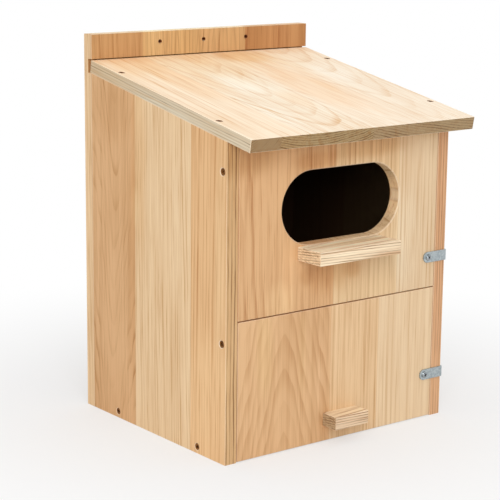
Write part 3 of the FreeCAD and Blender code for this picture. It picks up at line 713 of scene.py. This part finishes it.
@dataclass
class Screw:
    """One kind of screw, modelled in millimetres with its head's top at zero and its tip below.

    The neck is the plain part under the head, and the core is the thread's inner diameter. The tip's start,
    its knee and the thread's end are measured up from the point.
    """

    name: str
    style: HeadStyle
    head: float
    shank: float
    length: float
    neck: float
    core: float
    pitch: float = 1.8
    rise: float = 2.2
    recess_width: float = 4.1
    recess_arm: float = 1.05
    recess_depth: float = 2.0
    tip_start: float = 3.6
    thread_end: float = 3.4
    tip_knee: float = 1.4
    tip_radius: float = 0.12
    sides: int = 36
    thread_steps: int = 14

    def profile(self) -> tuple[tuple[float, float], ...]:
        """Lists the levels below the head's widest part, each with the screw's radius there.

        Returns:
            The levels and radii, from the head down to the tip.
        """
        throat, core = self.shank / 2, self.core / 2
        pan = self.style is HeadStyle.PAN
        under = -self.rise if pan else throat - self.head / 2
        end = -self.length
        start = ((under, self.head / 2 - 0.1), (under, throat + 0.25)) if pan else ()
        return (*start, (under - 0.12, throat), (under - self.neck, throat), (under - self.neck - 0.7, core),
                (end + self.tip_start, core), (end + self.tip_knee, core * 0.62), (end, self.tip_radius))

    def draw_out(self, levels: Sequence[tuple[float, float]], level: float) -> None:
        """Draws the selected end face out from level to level, each with its own radius.

        Args:
            levels: The levels to reach, with the radius at each.
            level: The level that the face is at, with the head's full radius.
        """
        radius = self.head / 2
        for new_level, new_radius in levels:
            bpy.ops.mesh.extrude_region_move(TRANSFORM_OT_translate={"value": (0, 0, new_level - level)})
            bpy.ops.transform.resize(value=(new_radius / radius, new_radius / radius, 1))
            level, radius = new_level, new_radius

    def turn_body(self) -> bpy.types.Object:
        """Turns the head, neck, core and tip in one piece.

        Returns:
            The screw's body.
        """
        pan = self.style is HeadStyle.PAN
        lip, middle = (0.7, -self.rise + 0.45) if pan else (0.14, -0.07)
        radius = self.head / 2
        bpy.ops.object.select_all(action="DESELECT")
        bpy.ops.mesh.primitive_cylinder_add(vertices=self.sides, radius=radius, depth=lip,
                                            location=(0, 0, middle))
        body = bpy.context.object
        bpy.ops.object.mode_set(mode="EDIT")
        pick_faces(body, lambda face: face.normal.z < -0.9)
        self.draw_out(self.profile(), middle - lip / 2)
        pick_faces(body, lambda face: face.normal.z > 0.9 and face.calc_center_median().z > -self.rise)
        if pan:
            top = middle + lip / 2
            dome = ((0.35, 0.97), (0.62, 0.88), (0.82, 0.74), (0.95, 0.5), (1.0, 0.2))
            self.draw_out([(top * (1 - up), width * radius) for up, width in dome], top)
        else:
            bpy.ops.mesh.inset(thickness=0.3, depth=-0.1)
        bpy.ops.object.mode_set(mode="OBJECT")
        bpy.ops.object.transform_apply(location=True, rotation=True, scale=True)
        return body

    def cut_recess(self, body: bpy.types.Object) -> None:
        """Cuts the cross into the head with a tapered blade, a little too tall, and again a quarter turn on.

        Args:
            body: The screw's body.
        """
        over = 0.4
        taper = (0.3, 0.75, 1)
        for turn in (0.0, math.pi / 2):
            bpy.ops.object.select_all(action="DESELECT")
            bpy.ops.mesh.primitive_cube_add(size=1, location=(0, 0, (over - self.recess_depth) / 2))
            blade = bpy.context.object
            bpy.ops.object.mode_set(mode="EDIT")
            bpy.ops.transform.resize(value=(self.recess_width, self.recess_arm, self.recess_depth + over))
            pick_faces(blade, lambda face: face.normal.z < -0.9)
            bpy.ops.transform.resize(value=taper)
            bpy.ops.object.mode_set(mode="OBJECT")
            bpy.ops.object.transform_apply(location=True, rotation=True, scale=True)
            blade.data.transform(Matrix.Rotation(turn, 4, "Z"))
            only(body)
            cut = body.modifiers.new("recess", "BOOLEAN")
            cut.object, cut.operation, cut.solver = blade, "DIFFERENCE", "EXACT"
            bpy.ops.object.modifier_apply(modifier=cut.name)
            bpy.data.objects.remove(blade)

    def wind_thread(self) -> bpy.types.Object:
        """Winds the thread: a ridge that climbs the core, closed at both ends.

        Returns:
            The thread.
        """
        ridge, low = self.shank / 2 - 0.05, self.core / 2 - 0.04
        neck_end = self.profile()[-5][0]
        start = self.thread_end - self.length
        turns = int((neck_end - start) / self.pitch)
        bpy.ops.object.select_all(action="DESELECT")
        bpy.ops.mesh.primitive_circle_add(vertices=3, radius=1.0, fill_type="NOTHING")
        thread = bpy.context.object
        bpy.ops.object.mode_set(mode="EDIT")
        mesh = bmesh.from_edit_mesh(thread.data)
        tip = max(mesh.verts, key=lambda v: v.co.y)
        for edge in mesh.edges:
            edge.select_set(tip not in edge.verts)
        bmesh.update_edit_mesh(thread.data)
        bpy.ops.mesh.delete(type="EDGE_FACE")
        bpy.ops.mesh.select_all(action="SELECT")
        size = (self.pitch / 3 ** 0.5, (ridge - low) / 1.5, 1)
        bpy.ops.transform.resize(value=size, center_override=(0, 0, 0))
        bpy.ops.transform.translate(value=(0, low + (ridge - low) / 3, 0))
        bpy.ops.object.mode_set(mode="OBJECT")
        stand = Matrix(((0, 1, 0, 0), (0, 0, 1, 0), (1, 0, 0, start), (0, 0, 0, 1)))
        thread.data.transform(stand)
        only(thread)
        winding = thread.modifiers.new("winding", "SCREW")
        winding.axis, winding.screw_offset, winding.iterations = "Z", self.pitch, turns
        winding.steps = winding.render_steps = self.thread_steps
        winding.use_merge_vertices, winding.merge_threshold = True, 0.01
        bpy.ops.object.modifier_apply(modifier=winding.name)
        bpy.ops.object.mode_set(mode="EDIT")
        bpy.ops.mesh.select_all(action="SELECT")
        bpy.ops.mesh.remove_doubles(threshold=0.005)
        bpy.ops.mesh.fill_holes(sides=0)
        bpy.ops.mesh.select_all(action="SELECT")
        bpy.ops.mesh.normals_make_consistent(inside=False)
        bpy.ops.object.mode_set(mode="OBJECT")
        return thread

    def model(self, steel: bpy.types.Material, recess_shade: bpy.types.Material) -> bpy.types.Object:
        """Models the screw.

        Args:
            steel: Its metal.
            recess_shade: The darker metal painted as shade in its recess.

        Returns:
            The pattern that is copied to each place.
        """
        body = self.turn_body()
        self.cut_recess(body)
        thread = self.wind_thread()
        for part in (body, thread):
            part.data.materials.clear()
            part.data.materials.append(steel)
            part.data.materials.append(recess_shade)
        # The faces down in the cross take the darker metal, as painted shade.
        for face in body.data.polygons:
            spot = face.center
            out = spot.x * face.normal.x + spot.y * face.normal.y
            deep = -self.recess_depth - 0.2 < spot.z < -0.3
            near = math.hypot(spot.x, spot.y) < self.recess_width / 2 + 0.1
            face.material_index = int(deep and near and out < 0.1)
        only(body)
        thread.select_set(True)
        bpy.ops.object.join()
        bpy.ops.object.shade_smooth_by_angle(angle=math.radians(32))
        body.name = self.name
        return body


@dataclass
class ScrewTray:
    """The three kinds of screw, each modelled once and copied wherever one is driven."""

    board: Screw = field(default_factory=lambda: Screw(
        "board_screw", HeadStyle.COUNTERSUNK, head=7.5, shank=4.0, length=35.0, neck=9.0, core=2.7))
    trim: Screw = field(default_factory=lambda: Screw(
        "trim_screw", HeadStyle.COUNTERSUNK, head=7.5, shank=4.0, length=29.0, neck=7.0, core=2.7))
    strap: Screw = field(default_factory=lambda: Screw(
        "strap_screw", HeadStyle.PAN, head=7.0, shank=3.5, length=15.2, neck=1.6, core=2.4, pitch=1.4,
        recess_width=3.7, recess_arm=0.95, recess_depth=1.7))
    models: dict[str, bpy.types.Object] = field(default_factory=dict)

    def fill(self) -> None:
        """Models the three kinds, the wood's in bronzed steel and the straps' in bright zinc."""
        bronzed = MetalFinish("bronzed steel", seen(146, 98, 50), seen(100, 58, 18), 1.5, 0.45).material()
        bright = MetalFinish("bright zinc", seen(184, 190, 194), seen(120, 128, 132), 1.5, 0.3).material()
        # The darker metal in the cross recesses is painted shade.
        recess_shade = MetalFinish("recess shade steel", seen(86, 44, 10), seen(52, 24, 4), 0.8, 0.6).material()
        for screw, metal in ((self.board, bronzed), (self.trim, bronzed), (self.strap, bright)):
            self.models[screw.name] = screw.model(metal, recess_shade)

    def drive(self, node: str, body: Body, screw: Screw, spots: Sequence[Spot]) -> None:
        """Copies a screw to every spot, makes the copies one piece and lets it stand for the node.

        Args:
            node: The node of the frame that holds these screws.
            body: The body that they move with.
            screw: Their kind.
            spots: Where they sit.
        """
        copies = []
        for number, spot in enumerate(spots):
            copy = bpy.data.objects.new(f"{node}_{number}", self.models[screw.name].data.copy())
            bpy.context.scene.collection.objects.link(copy)
            turn = Vector(spot.faces).to_track_quat("Z", "Y").to_matrix().to_4x4()
            turn = turn @ Matrix.Rotation(spot.spin, 4, "Z")
            copy.data.transform(Matrix.Translation(Vector(spot.place) * MM) @ turn @ Matrix.Scale(MM, 4))
            copies.append(copy)
        only(copies[0])
        for copy in copies:
            copy.select_set(True)
        if len(copies) > 1:
            bpy.ops.object.join()
        piece = bpy.context.object
        piece.name = f"{node}_detailed"
        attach(piece, body.value)
        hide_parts(node)
        LOG.info("drove %d screws for %s, %d faces", len(spots), node, len(piece.data.polygons))

    def empty(self) -> None:
        """Takes the patterns away."""
        for model in self.models.values():
            bpy.data.objects.remove(model)
        self.models.clear()


@dataclass
class Carcass:
    """The fixed box: two sides, the tall back board, the floor and the sloping roof, with their screws.

    The boards' sizes are in metres and the screws' places in millimetres. The runs of the roof's screws are
    measured up its slope, and their turns say how far round each one was driven.
    """

    half_width: float = 0.155
    back_face: float = 0.119
    pitch: float = math.radians(10.3)
    roof_nose: Point = (0.0, -0.17350, 0.35006)
    sawn_ends: Colour = seen(215, 205, 195)
    screw_side: float = 147.5
    roof_runs: tuple[float, float] = (64, 246.8)
    roof_turns: tuple[float, ...] = (0.3, 1.1, 0.7, 0.1)
    roof_sink: float = 0.5
    floor_rows: tuple[float, float] = (-84, 69)
    floor_height: float = 7.5
    rear_heights: tuple[float, ...] = (45, 194.48, 343.97)
    rear_seat: float = 133.5
    catch_place: tuple[float, float] = (159.3, -119)
    catch_heights: tuple[float, float] = (51, 188.5)

    def left_side(self) -> Board:
        """Returns the left side: an orange stave at the rear, then a pale one and a straight one in front."""
        staves = (
            Stave(-33, (228, 182, 133), (190, 138, 84), (-76, 10), taper=-0.2, ring_width=8, late_share=0.4,
                  uneven=3, waver=11, line=0.7, fibre=0.4, seed=63),
            Stave(72, (243, 211, 168), (208, 163, 112), (-130, 42), taper=0.03, ring_width=5, waver=7,
                  line=0.6, fibre=0.6, seed=21),
            Stave(134, (236, 192, 141), (200, 145, 91), (190, 84), taper=0.01, ring_width=4.2, waver=2.5,
                  line=0.7, fibre=0.5, seed=103),
        )
        tones = (FaceTone(FRONT, (0.84, 0.87, 0.87), lines=1.3, heart=(134, -1000), spacing=4.6, wander=5),
                 FaceTone(UP, self.sawn_ends, both_ways=True))
        patches = (
            Patch((-38, 0, 170), (9, 30, 190), (0.92, 0.86, 0.78)),
            Patch((-25, 0, 320), (16, 30, 150), (0.96, 0.89, 0.8), 0.9),
            Patch((4, 0, 230), (9, 30, 120), (1.04, 1.06, 1.08)),
            Patch((100, 0, 60), (40, 30, 110), (1.1, 1.16, 1.22)),
            Patch((-84, 0, 350), (50, 30, 40), (0.95, 0.92, 0.88)),
            Patch((122, 0, 230), (13, 30, 150), (1.07, 1.15, 1.23), 0.3),
            Patch((45, 0, 230), (12, 30, 90), (1.06, 1.1, 1.15), 0.6),
            Patch((-32, 0, 250), (10, 30, 26), (1.06, 1.12, 1.17), 0.6),
            # Painted shadow of the roof's nose at the top of the front edge.
            Patch((134, 8, 330), (1.5, 30, 30), (0.82, 0.76, 0.67), 0.0),
        )
        return Board("left_side", FRONT, RIGHT, UP, (-self.half_width, 0.0, 0.0), staves, tones, patches)

    def right_side(self) -> Board:
        """Returns the right side, which is redder along its front edge."""
        staves = (
            Stave(-62, (230, 186, 142), (196, 142, 98), (-200, 66), taper=0.02, ring_width=3.4, waver=2.5,
                  line=0.5, seed=4),
            Stave(24, (234, 204, 160), (200, 158, 108), (-16, 30), taper=-0.12, ring_width=4, waver=5,
                  line=0.4, seed=5),
            Stave(119, (224, 182, 134), (188, 138, 88), (150, 48), taper=0.04, ring_width=3.8, waver=4,
                  line=0.5, seed=6),
        )
        tones = (
            FaceTone(FRONT, (0.94, 0.88, 0.86), lines=0.7, heart=(-134, -1000), spacing=3.8, wander=3,
                     seed=2),
            FaceTone(UP, self.sawn_ends, both_ways=True),
        )
        return Board("right_side", REAR, LEFT, UP, (self.half_width, 0.0, 0.0), staves, tones)

    def back_panel(self) -> Board:
        """Returns the tall back board, yellow-tan with a reddish stave on the right."""
        staves = (
            Stave(-86, (203, 155, 104), (170, 118, 68), (-190, 60), taper=0.03, ring_width=4.5, waver=4,
                  line=0.5, seed=7),
            Stave(-3, (216, 172, 117), (158, 106, 56), (-25, 30), taper=-0.03, ring_width=5, late_share=0.25,
                  uneven=1.5, waver=9, line=0.8, fibre=0.5, seed=76),
            Stave(61, (217, 172, 119), (162, 112, 62), (30, 12), taper=0.1, ring_width=7, late_share=0.22,
                  uneven=2, waver=14, line=0.9, fibre=0.5, seed=96),
            Stave(155, (201, 146, 94), (164, 104, 57), (150, 60), taper=0.03, ring_width=9, waver=6, line=0.7,
                  seed=116),
        )
        # Painted light: the back board's side edges and its ends are made much paler where they catch the
        # light.
        tones = (FaceTone(LEFT, (1.55, 2.0, 2.8), both_ways=True),
                 FaceTone(UP, (1.5, 2.15, 3.3), both_ways=True),
                 # Painted shade on the walls of the hanging holes.
                 FaceTone(LEFT, (0.22, 0.07, 0.02), both_ways=True, limits=(-100, 100)))
        patches = (
            Patch((76, 0, 420), (18, 30, 60), (0.86, 0.82, 0.76)),
            Patch((152, 0, 420), (12, 30, 60), (0.86, 0.8, 0.72), 0.3),
            Patch((-30, 0, 420), (16, 30, 60), (1.05, 1.06, 1.05)),
            Patch((-72, 0, 420), (14, 30, 60), (1.08, 1.14, 1.18)),
            # Painted shade in and round the three hanging holes.
            *(Patch((x, 0, 420), (2.7, 60, 2.7), (0.28, 0.12, 0.05), 0.0) for x in (-62, 0, 62)),
        )
        return Board("back_panel", RIGHT, REAR, UP, (0.0, self.back_face, 0.0), staves, tones, patches)

    def floor(self) -> Board:
        """Returns the floor, whose grain runs from side to side."""
        staves = (
            Stave(20, (232, 196, 152), (200, 152, 102), (-120, 50), taper=0.03, ring_width=4.5, waver=4,
                  line=0.5, seed=11),
            Stave(134, (226, 186, 142), (192, 142, 92), (60, 40), taper=0.1, ring_width=4.5, waver=5,
                  line=0.5, seed=12),
        )
        tones = (FaceTone(RIGHT, self.sawn_ends, both_ways=True),)
        return Board("floor", FRONT, DOWN, LEFT, (0.0, 0.0, 0.015), staves, tones)

    def roof(self) -> Board:
        """Returns the roof: pale staves with the grain down the slope, more orange towards the back."""
        back = (0.0, math.cos(self.pitch), math.sin(self.pitch))
        down = (0.0, math.sin(self.pitch), -math.cos(self.pitch))
        staves = (
            Stave(-83, (254, 234, 207), (228, 186, 138), (-240, -90), taper=-0.01, ring_width=6.5,
                  late_share=0.4, waver=3, line=0.6, seed=13),
            Stave(4, (254, 241, 219), (226, 182, 132), (-34, -14), taper=-0.32, ring_width=14, late_share=0.4,
                  uneven=1.5, waver=14, line=0.55, seed=44),
            Stave(156, (254, 239, 217), (230, 190, 145), (108, -14), taper=-0.32, ring_width=14,
                  late_share=0.4, uneven=1.5, waver=14, line=0.45, seed=34),
        )
        front = tuple(-c for c in back)
        # The roof's front end grain is darker, partly its own colour and partly painted shade, with ring
        # lines on it.
        tones = (FaceTone(front, (0.42, 0.34, 0.21), lines=2.1, heart=(-64, -200), spacing=2.6, wander=5,
                          limits=(-116, 8), seed=3),
                 FaceTone(front, (0.36, 0.285, 0.185), lines=0.9, heart=(-170, -30), spacing=2.5,
                          limits=(-160, -116), seed=8),
                 FaceTone(front, (0.41, 0.33, 0.22), lines=1.4, heart=(250, -900), spacing=2.9, wander=3,
                          limits=(8, 160), seed=5),
                 # The roof's side edges are greyed as painted shade, with their own ring lines.
                 FaceTone(LEFT, (0.76, 0.79, 0.77), lines=1.2, heart=(-155, -1000), spacing=2.9, wander=2.5,
                          both_ways=True, seed=6))
        patches = (
            Patch((-20, 0, 290), (190, 80, 130), (0.96, 0.86, 0.73), 0.9),
            Patch((-24, 0, 274), (22, 80, 34), (0.98, 0.92, 0.84), 0.7),
            Patch((44, 0, 150), (46, 80, 130), (0.99, 0.88, 0.78), 0.8),
            Patch((16, 0, 280), (14, 80, 26), (0.91, 0.83, 0.75), 0.7),
            Patch((-90, 0, 185), (42, 80, 70), (1.0, 0.94, 0.87), 0.8),
            Patch((-12, 0, 110), (18, 80, 42), (0.99, 0.92, 0.85), 0.8),
            Patch((0, 0, 292), (300, 80, 22), (0.95, 0.9, 0.85), 0.5),
            Patch((44, 0, 276), (44, 80, 34), (0.94, 0.84, 0.7), 0.8),
            Patch((-118, 0, 270), (40, 80, 60), (0.98, 0.93, 0.86), 0.8),
            Patch((-46, 0, 178), (24, 80, 42), (1.03, 1.09, 1.15), 0.8),
            Patch((-68, 0, 60), (18, 80, 60), (1.03, 1.08, 1.14), 0.8),
            Patch((112, 0, 190), (24, 80, 54), (1.03, 1.08, 1.14), 0.8),
            Patch((62, 0, 150), (9, 80, 44), (0.98, 0.93, 0.86), 0.8),
        )
        return Board("roof", RIGHT, down, back, self.roof_nose, staves, tones, patches)

    def drive_screws(self, tray: ScrewTray) -> None:
        """Drives the screws that hold the box together, and the two that the straps catch on.

        Args:
            tray: The screws.
        """
        back = Vector((0.0, math.cos(self.pitch), math.sin(self.pitch)))
        up = Vector((0.0, -math.sin(self.pitch), math.cos(self.pitch)))
        nose = Vector(self.roof_nose) / MM
        sides = (-self.screw_side, self.screw_side)
        corners = [(side, run) for run in self.roof_runs for side in sides]
        roof = [Spot(tuple(nose + Vector((side, 0, 0)) + back * run - up * self.roof_sink), tuple(up), turn)
                for (side, run), turn in zip(corners, self.roof_turns)]
        tray.drive("roof_screws", Body.HOUSE, tray.board, roof)
        floor = [Spot((side * SIDE_SEAT, y, self.floor_height), (side, 0, 0), y / 50)
                 for side in (-1, 1) for y in self.floor_rows]
        tray.drive("floor_screws", Body.HOUSE, tray.board, floor)
        rear = [Spot((x, self.rear_seat, z), REAR, z / 80) for x in sides for z in self.rear_heights]
        tray.drive("back_screws", Body.HOUSE, tray.board, rear)
        catches = [Spot((*self.catch_place, z), RIGHT, z / 60) for z in self.catch_heights]
        tray.drive("catch_screws", Body.HOUSE, tray.strap, catches)

    def build(self, tray: ScrewTray) -> None:
        """Dresses the five boards and drives their screws.

        Args:
            tray: The screws.
        """
        for board in (self.left_side(), self.right_side(), self.back_panel(), self.floor(), self.roof()):
            board.dress()
        self.drive_screws(tray)


@dataclass
class Flap:
    """A front board that swings on two screws, with a part screwed to its face and a strap to hold it shut.

    The front face is in metres and the screws' places are in millimetres. The turns say how far round the
    pivot screws and the latch screw were driven.
    """

    body: Body
    name: str
    trim_screws: str
    trim_sides: tuple[float, float]
    trim_height: float
    pivot_height: float
    latch_height: float
    turns: tuple[float, float]
    front: float = -0.134
    inner_face: float = -119.5
    pivot_depth: float = -126.5
    latch_place: tuple[float, float] = (128.5, -137.7)

    def boards(self) -> tuple[Board, ...]:
        """Returns the flap's boards, of which a bare flap has none."""
        return ()

    def build(self, tray: ScrewTray) -> None:
        """Dresses the flap's boards and drives its screws.

        Args:
            tray: The screws.
        """
        for board in self.boards():
            board.dress()
        trim = [Spot((x, self.inner_face, self.trim_height), REAR, x / 30) for x in self.trim_sides]
        tray.drive(self.trim_screws, self.body, tray.trim, trim)
        pivots = [Spot((side * SIDE_SEAT, self.pivot_depth, self.pivot_height), (side, 0, 0), self.turns[0])
                  for side in (-1, 1)]
        tray.drive(f"{self.name}_pivot_screws", self.body, tray.board, pivots)
        latch = [Spot((*self.latch_place, self.latch_height), FRONT, self.turns[1])]
        tray.drive(f"{self.name}_latch_screw", self.body, tray.strap, latch)


@dataclass
class EntranceFlap(Flap):
    """The upper front board with the entrance, the ledge under it and the latch strap."""

    body: Body = Body.UPPER_FLAP
    name: str = "upper"
    trim_screws: str = "ledge_screws"
    trim_sides: tuple[float, float] = (-41, 32)
    trim_height: float = 216.25
    pivot_height: float = 311.5
    latch_height: float = 188.5
    turns: tuple[float, float] = (0.4, 0.55)

    def boards(self) -> tuple[Board, ...]:
        """Returns the panel and the ledge."""
        return self.panel(), self.ledge()

    def panel(self) -> Board:
        """Returns the panel: an orange stave with broad bands, a striped one and a pale one."""
        staves = (
            Stave(-10, (221, 177, 130), (180, 126, 78), (-170, 46), taper=0.06, ring_width=9, late_share=0.6,
                  waver=14, line=0.5, seed=16),
            Stave(82, (232, 200, 156), (190, 144, 96), (-150, 46), ring_width=6, waver=2.5, line=0.7,
                  fibre=0.55, seed=36),
            Stave(140, (234, 207, 170), (204, 164, 120), (250, 46), ring_width=5.5, waver=2.5, line=0.7,
                  fibre=0.55, seed=58),
        )
        # Painted light: the faces that look left, up and down, chiefly the entrance's rim, are made lighter.
        tones = (FaceTone(LEFT, (1.25, 1.2, 1.16)),
                 FaceTone(UP, (1.2, 1.22, 1.28), both_ways=True))
        patches = (
            # Darker below the ledge: partly the ledge's painted shadow, partly darker streaks in the wood.
            Patch((-10, 0, 197), (48, 30, 34), (0.91, 0.82, 0.72), 0.9),
            Patch((-48, 0, 190), (12, 30, 14), (0.86, 0.8, 0.73), 0.6),
            Patch((16, 0, 190), (16, 30, 12), (0.92, 0.84, 0.77), 0.6),
            Patch((-84, 0, 166), (24, 30, 26), (1.1, 1.18, 1.22), 0.6),
            Patch((92, 0, 212), (28, 30, 70), (1.09, 1.16, 1.24), 0.6),
            # Painted shadow of the roof along the top of the panel and under its nose at both ends.
            Patch((0, 0, 342), (300, 30, 16), (0.93, 0.91, 0.88), 0.3),
            Patch((-128, 0, 326), (44, 30, 26), (0.85, 0.79, 0.7), 0.5),
            Patch((128, 0, 336), (40, 30, 14), (0.9, 0.87, 0.8), 0.5),
            Patch((-36, 0, 314), (40, 30, 12), (0.9, 0.82, 0.72), 0.9),
            Patch((-74, 0, 190), (9, 30, 60), (1.1, 1.12, 1.14)),
            Patch((-11, 0, 176), (2.2, 30, 26), (1.06, 1.1, 1.14), 0.3),
            Patch((38, 0, 322), (66, 30, 15), (0.89, 0.79, 0.69), 0.6),
        )
        return Board("upper_front", RIGHT, REAR, UP, (0.0, self.front, 0.0), staves, tones, patches,
                     edge_highlight=0.25)

    def ledge(self) -> Board:
        """Returns the ledge, whose rings run its length and curl over at its ends."""
        staves = (
            Stave(60, (246, 226, 194), (190, 146, 106), (4, -55), (0.0, -0.03), ring_width=2.7, waver=1.2,
                  line=0.95, seed=19),
        )
        # The ledge's top is made lighter as painted light; its lines are the grain.
        tones = (FaceTone(UP, (1.36, 1.4, 1.42), lines=1.1, heart=(-1000, 0), spacing=4.4, tilt=0.04,
                          wander=4, seed=11),
                 FaceTone(FRONT, (1.08, 1.08, 1.08), lines=1.5, heart=(-38, -1000), spacing=2.7, tilt=0.035,
                          wander=2, seed=7),
                 FaceTone(LEFT, (1.02, 0.98, 0.92), lines=1.5, heart=(-120, -1000), spacing=2.7, wander=2,
                          seed=8))
        patches = (
            Patch((-40, -7, 40), (30, 5.5, 46), (0.72, 0.58, 0.48), 0.3),
            Patch((-14, 7, 4), (9, 6, 60), (0.88, 0.8, 0.7), 0.6),
        )
        return Board("entrance_ledge", REAR, UP, RIGHT, (0.0, self.front, 0.2165), staves, tones, patches)


@dataclass
class CleaningFlap(Flap):
    """The lower front board with its pull handle and latch strap."""

    body: Body = Body.LOWER_FLAP
    name: str = "lower"
    trim_screws: str = "handle_screws"
    trim_sides: tuple[float, float] = (-9.5, 13.5)
    trim_height: float = 26
    pivot_height: float = 130.5
    latch_height: float = 51
    turns: tuple[float, float] = (1.2, 0.15)

    def boards(self) -> tuple[Board, ...]:
        """Returns the panel and the handle."""
        return self.panel(), self.handle()

    def panel(self) -> Board:
        """Returns the panel: a stave of wide soft arches, a striped one and a pale one."""
        staves = (
            Stave(-12, (225, 183, 137), (186, 135, 86), (-76, 3), taper=0.27, ring_width=10, late_share=0.7,
                  uneven=1.8, waver=5, line=0.4, fibre=0.3, seed=103),
            Stave(57, (237, 203, 160), (202, 158, 110), (-130, 50), ring_width=6, waver=2.5, line=0.45,
                  fibre=0.5, seed=21),
            Stave(140, (238, 210, 172), (210, 172, 128), (270, 46), ring_width=6, waver=2.5, line=0.4,
                  fibre=0.45, seed=22),
        )
        patches = (
            Patch((-104, 0, 112), (13, 30, 60), (1.03, 1.07, 1.04), 0.8),
            Patch((-52, 0, 104), (6, 30, 60), (1.03, 1.06, 1.05), 0.8),
            Patch((-26, 0, 80), (10, 30, 60), (1.07, 1.1, 1.15), 0.7),
        )
        return Board("lower_front", RIGHT, REAR, UP, (0.0, self.front, 0.0), staves, (), patches)

    def handle(self) -> Board:
        """Returns the handle, cut from a strip like the ledge's."""
        staves = (
            Stave(30, (238, 214, 182), (172, 126, 86), (3, -50), (0.0, -0.04), ring_width=2.7, waver=1.2,
                  line=0.95, seed=23),
        )
        tones = (FaceTone(LEFT, (0.68, 0.65, 0.57), both_ways=True, lines=1.2, heart=(-120, -1000),
                          spacing=2.7, seed=9),
                 # Painted light: the handle's top is made lighter.
                 FaceTone(UP, (1.14, 1.2, 1.2)),
                 FaceTone(FRONT, (1.07, 1.06, 1.05), lines=1.5, heart=(-22, -1000), spacing=2.7, tilt=0.03,
                          wander=2, seed=10))
        return Board("pull_handle", REAR, UP, RIGHT, (0.0, self.front, 0.026), staves, tones)


@dataclass
class Studio:
    """The pale floor, the soft lamps and the camera, none of them part of the house."""

    camera_place: Point = (-1.15082, -1.45650, 0.59148)
    camera_forward: Point = (0.59911, 0.77206, -0.21210)
    camera_up: Point = (0.12171, 0.17401, 0.97719)
    lens: float = 119.64
    sky: float = 0.55
    floor_radius: float = 6.0
    fade: tuple[float, float] = (0.15, 0.7)

    def camera(self) -> None:
        """Puts the camera at the photograph's viewpoint."""
        forward, up = Vector(self.camera_forward).normalized(), Vector(self.camera_up)
        right = forward.cross(up).normalized()
        up = right.cross(forward)
        lens = bpy.data.cameras.new("camera")
        lens.lens, lens.sensor_width = self.lens, 36.0
        lens.clip_start, lens.clip_end = 0.05, 60.0
        camera = bpy.data.objects.new("camera", lens)
        bpy.context.scene.collection.objects.link(camera)
        turn = Matrix((right, up, -forward)).transposed().to_4x4()
        camera.matrix_world = Matrix.Translation(self.camera_place) @ turn
        bpy.context.scene.camera = camera

    def looked_at(self, graph: NodeGraph) -> Socket:
        """Tells the rays that show a surface from the ones that only bring its light.

        Args:
            graph: The graph to add to.

        Returns:
            One for the rays that come from the camera, mirrored or not, and zero for the others.
        """
        ray = graph.node("ShaderNodeLightPath").outputs
        seen_first = graph.math("MAXIMUM", ray["Is Camera Ray"], ray["Is Glossy Ray"])
        return graph.math("MAXIMUM", seen_first, ray["Is Transmission Ray"])

    def floor(self) -> None:
        """Lays the pale floor, which takes the house's shadow and fades to plain white away from it."""
        bpy.ops.object.select_all(action="DESELECT")
        bpy.ops.mesh.primitive_circle_add(vertices=96, radius=self.floor_radius, fill_type="NGON",
                                          location=(0, 0, 0))
        floor = bpy.context.object
        floor.name = "studio_floor"
        made, graph = blank_material("pale floor")
        distance = graph.vector("LENGTH", graph.node("ShaderNodeTexCoord").outputs["Object"])
        faded = graph.smooth(distance, *self.fade, 0.5, 1.0)
        share = graph.math("MULTIPLY", faded, self.looked_at(graph))
        matt = graph.node("ShaderNodeBsdfDiffuse", {"Color": (0.86, 0.86, 0.86)})
        white = graph.node("ShaderNodeEmission", {"Color": (1.0, 1.0, 1.0), "Strength": 1.0})
        both = graph.node("ShaderNodeMixShader", {0: share, 1: matt.outputs[0], 2: white.outputs[0]})
        graph.node("ShaderNodeOutputMaterial", {"Surface": both.outputs[0]})
        floor.data.materials.append(made)

    def world(self) -> None:
        """Lights the room evenly and shows it white behind the house."""
        world = bpy.data.worlds.new("studio")
        bpy.context.scene.world = world
        world.use_nodes = True
        world.node_tree.nodes.clear()
        graph = NodeGraph(world.node_tree)
        level = graph.math("MULTIPLY_ADD", self.looked_at(graph), 1.0 - self.sky, self.sky)
        sky = graph.node("ShaderNodeBackground", {"Color": (1.0, 1.0, 1.0), "Strength": level})
        graph.node("ShaderNodeOutputWorld", {"Surface": sky.outputs[0]})

    def lamp(self, name: str, place: Point, aim: Point, size: float, power: float) -> None:
        """Hangs one soft square lamp.

        Args:
            name: The lamp's name.
            place: Where it hangs.
            aim: What it points at.
            size: The side of its square.
            power: Its power in watts.
        """
        light = bpy.data.lights.new(name, "AREA")
        light.shape, light.size, light.energy = "SQUARE", size, power
        lamp = bpy.data.objects.new(name, light)
        bpy.context.scene.collection.objects.link(lamp)
        lamp.location = place
        lamp.rotation_euler = (Vector(aim) - Vector(place)).to_track_quat("-Z", "Y").to_euler()

    def build(self) -> None:
        """Sets up the whole studio."""
        bpy.context.scene.view_settings.view_transform = "Standard"
        self.camera()
        self.floor()
        self.world()
        aim = (0, 0, 0.2)
        self.lamp("key", (-1.42, -1.9, 1.4), aim, size=1.4, power=31.0)
        self.lamp("top", (0.1, -0.2, 2.3), aim, size=2.0, power=11.5)
        LOG.info("studio ready")


def main() -> None:
    """Builds the studio and dresses the house, sub-assembly by sub-assembly."""
    logging.basicConfig(level=logging.INFO, format="%(message)s")
    for make_group in (ring_grain_group, face_tone_group, patch_group, eased_edge_highlight_group, nest_shade_group,
                       metal_wear_group):
        make_group()
    Studio().build()
    tray = ScrewTray()
    tray.fill()
    Carcass().build(tray)
    EntranceFlap().build(tray)
    CleaningFlap().build(tray)
    tray.empty()
    zinc = MetalFinish("zinc plate", seen(184, 192, 194), seen(160, 170, 174), 2.0, 0.45).material()
    for node in ("upper_latch_strap", "lower_latch_strap"):
        wear(node, zinc)


if __name__ == "__main__":
    main()
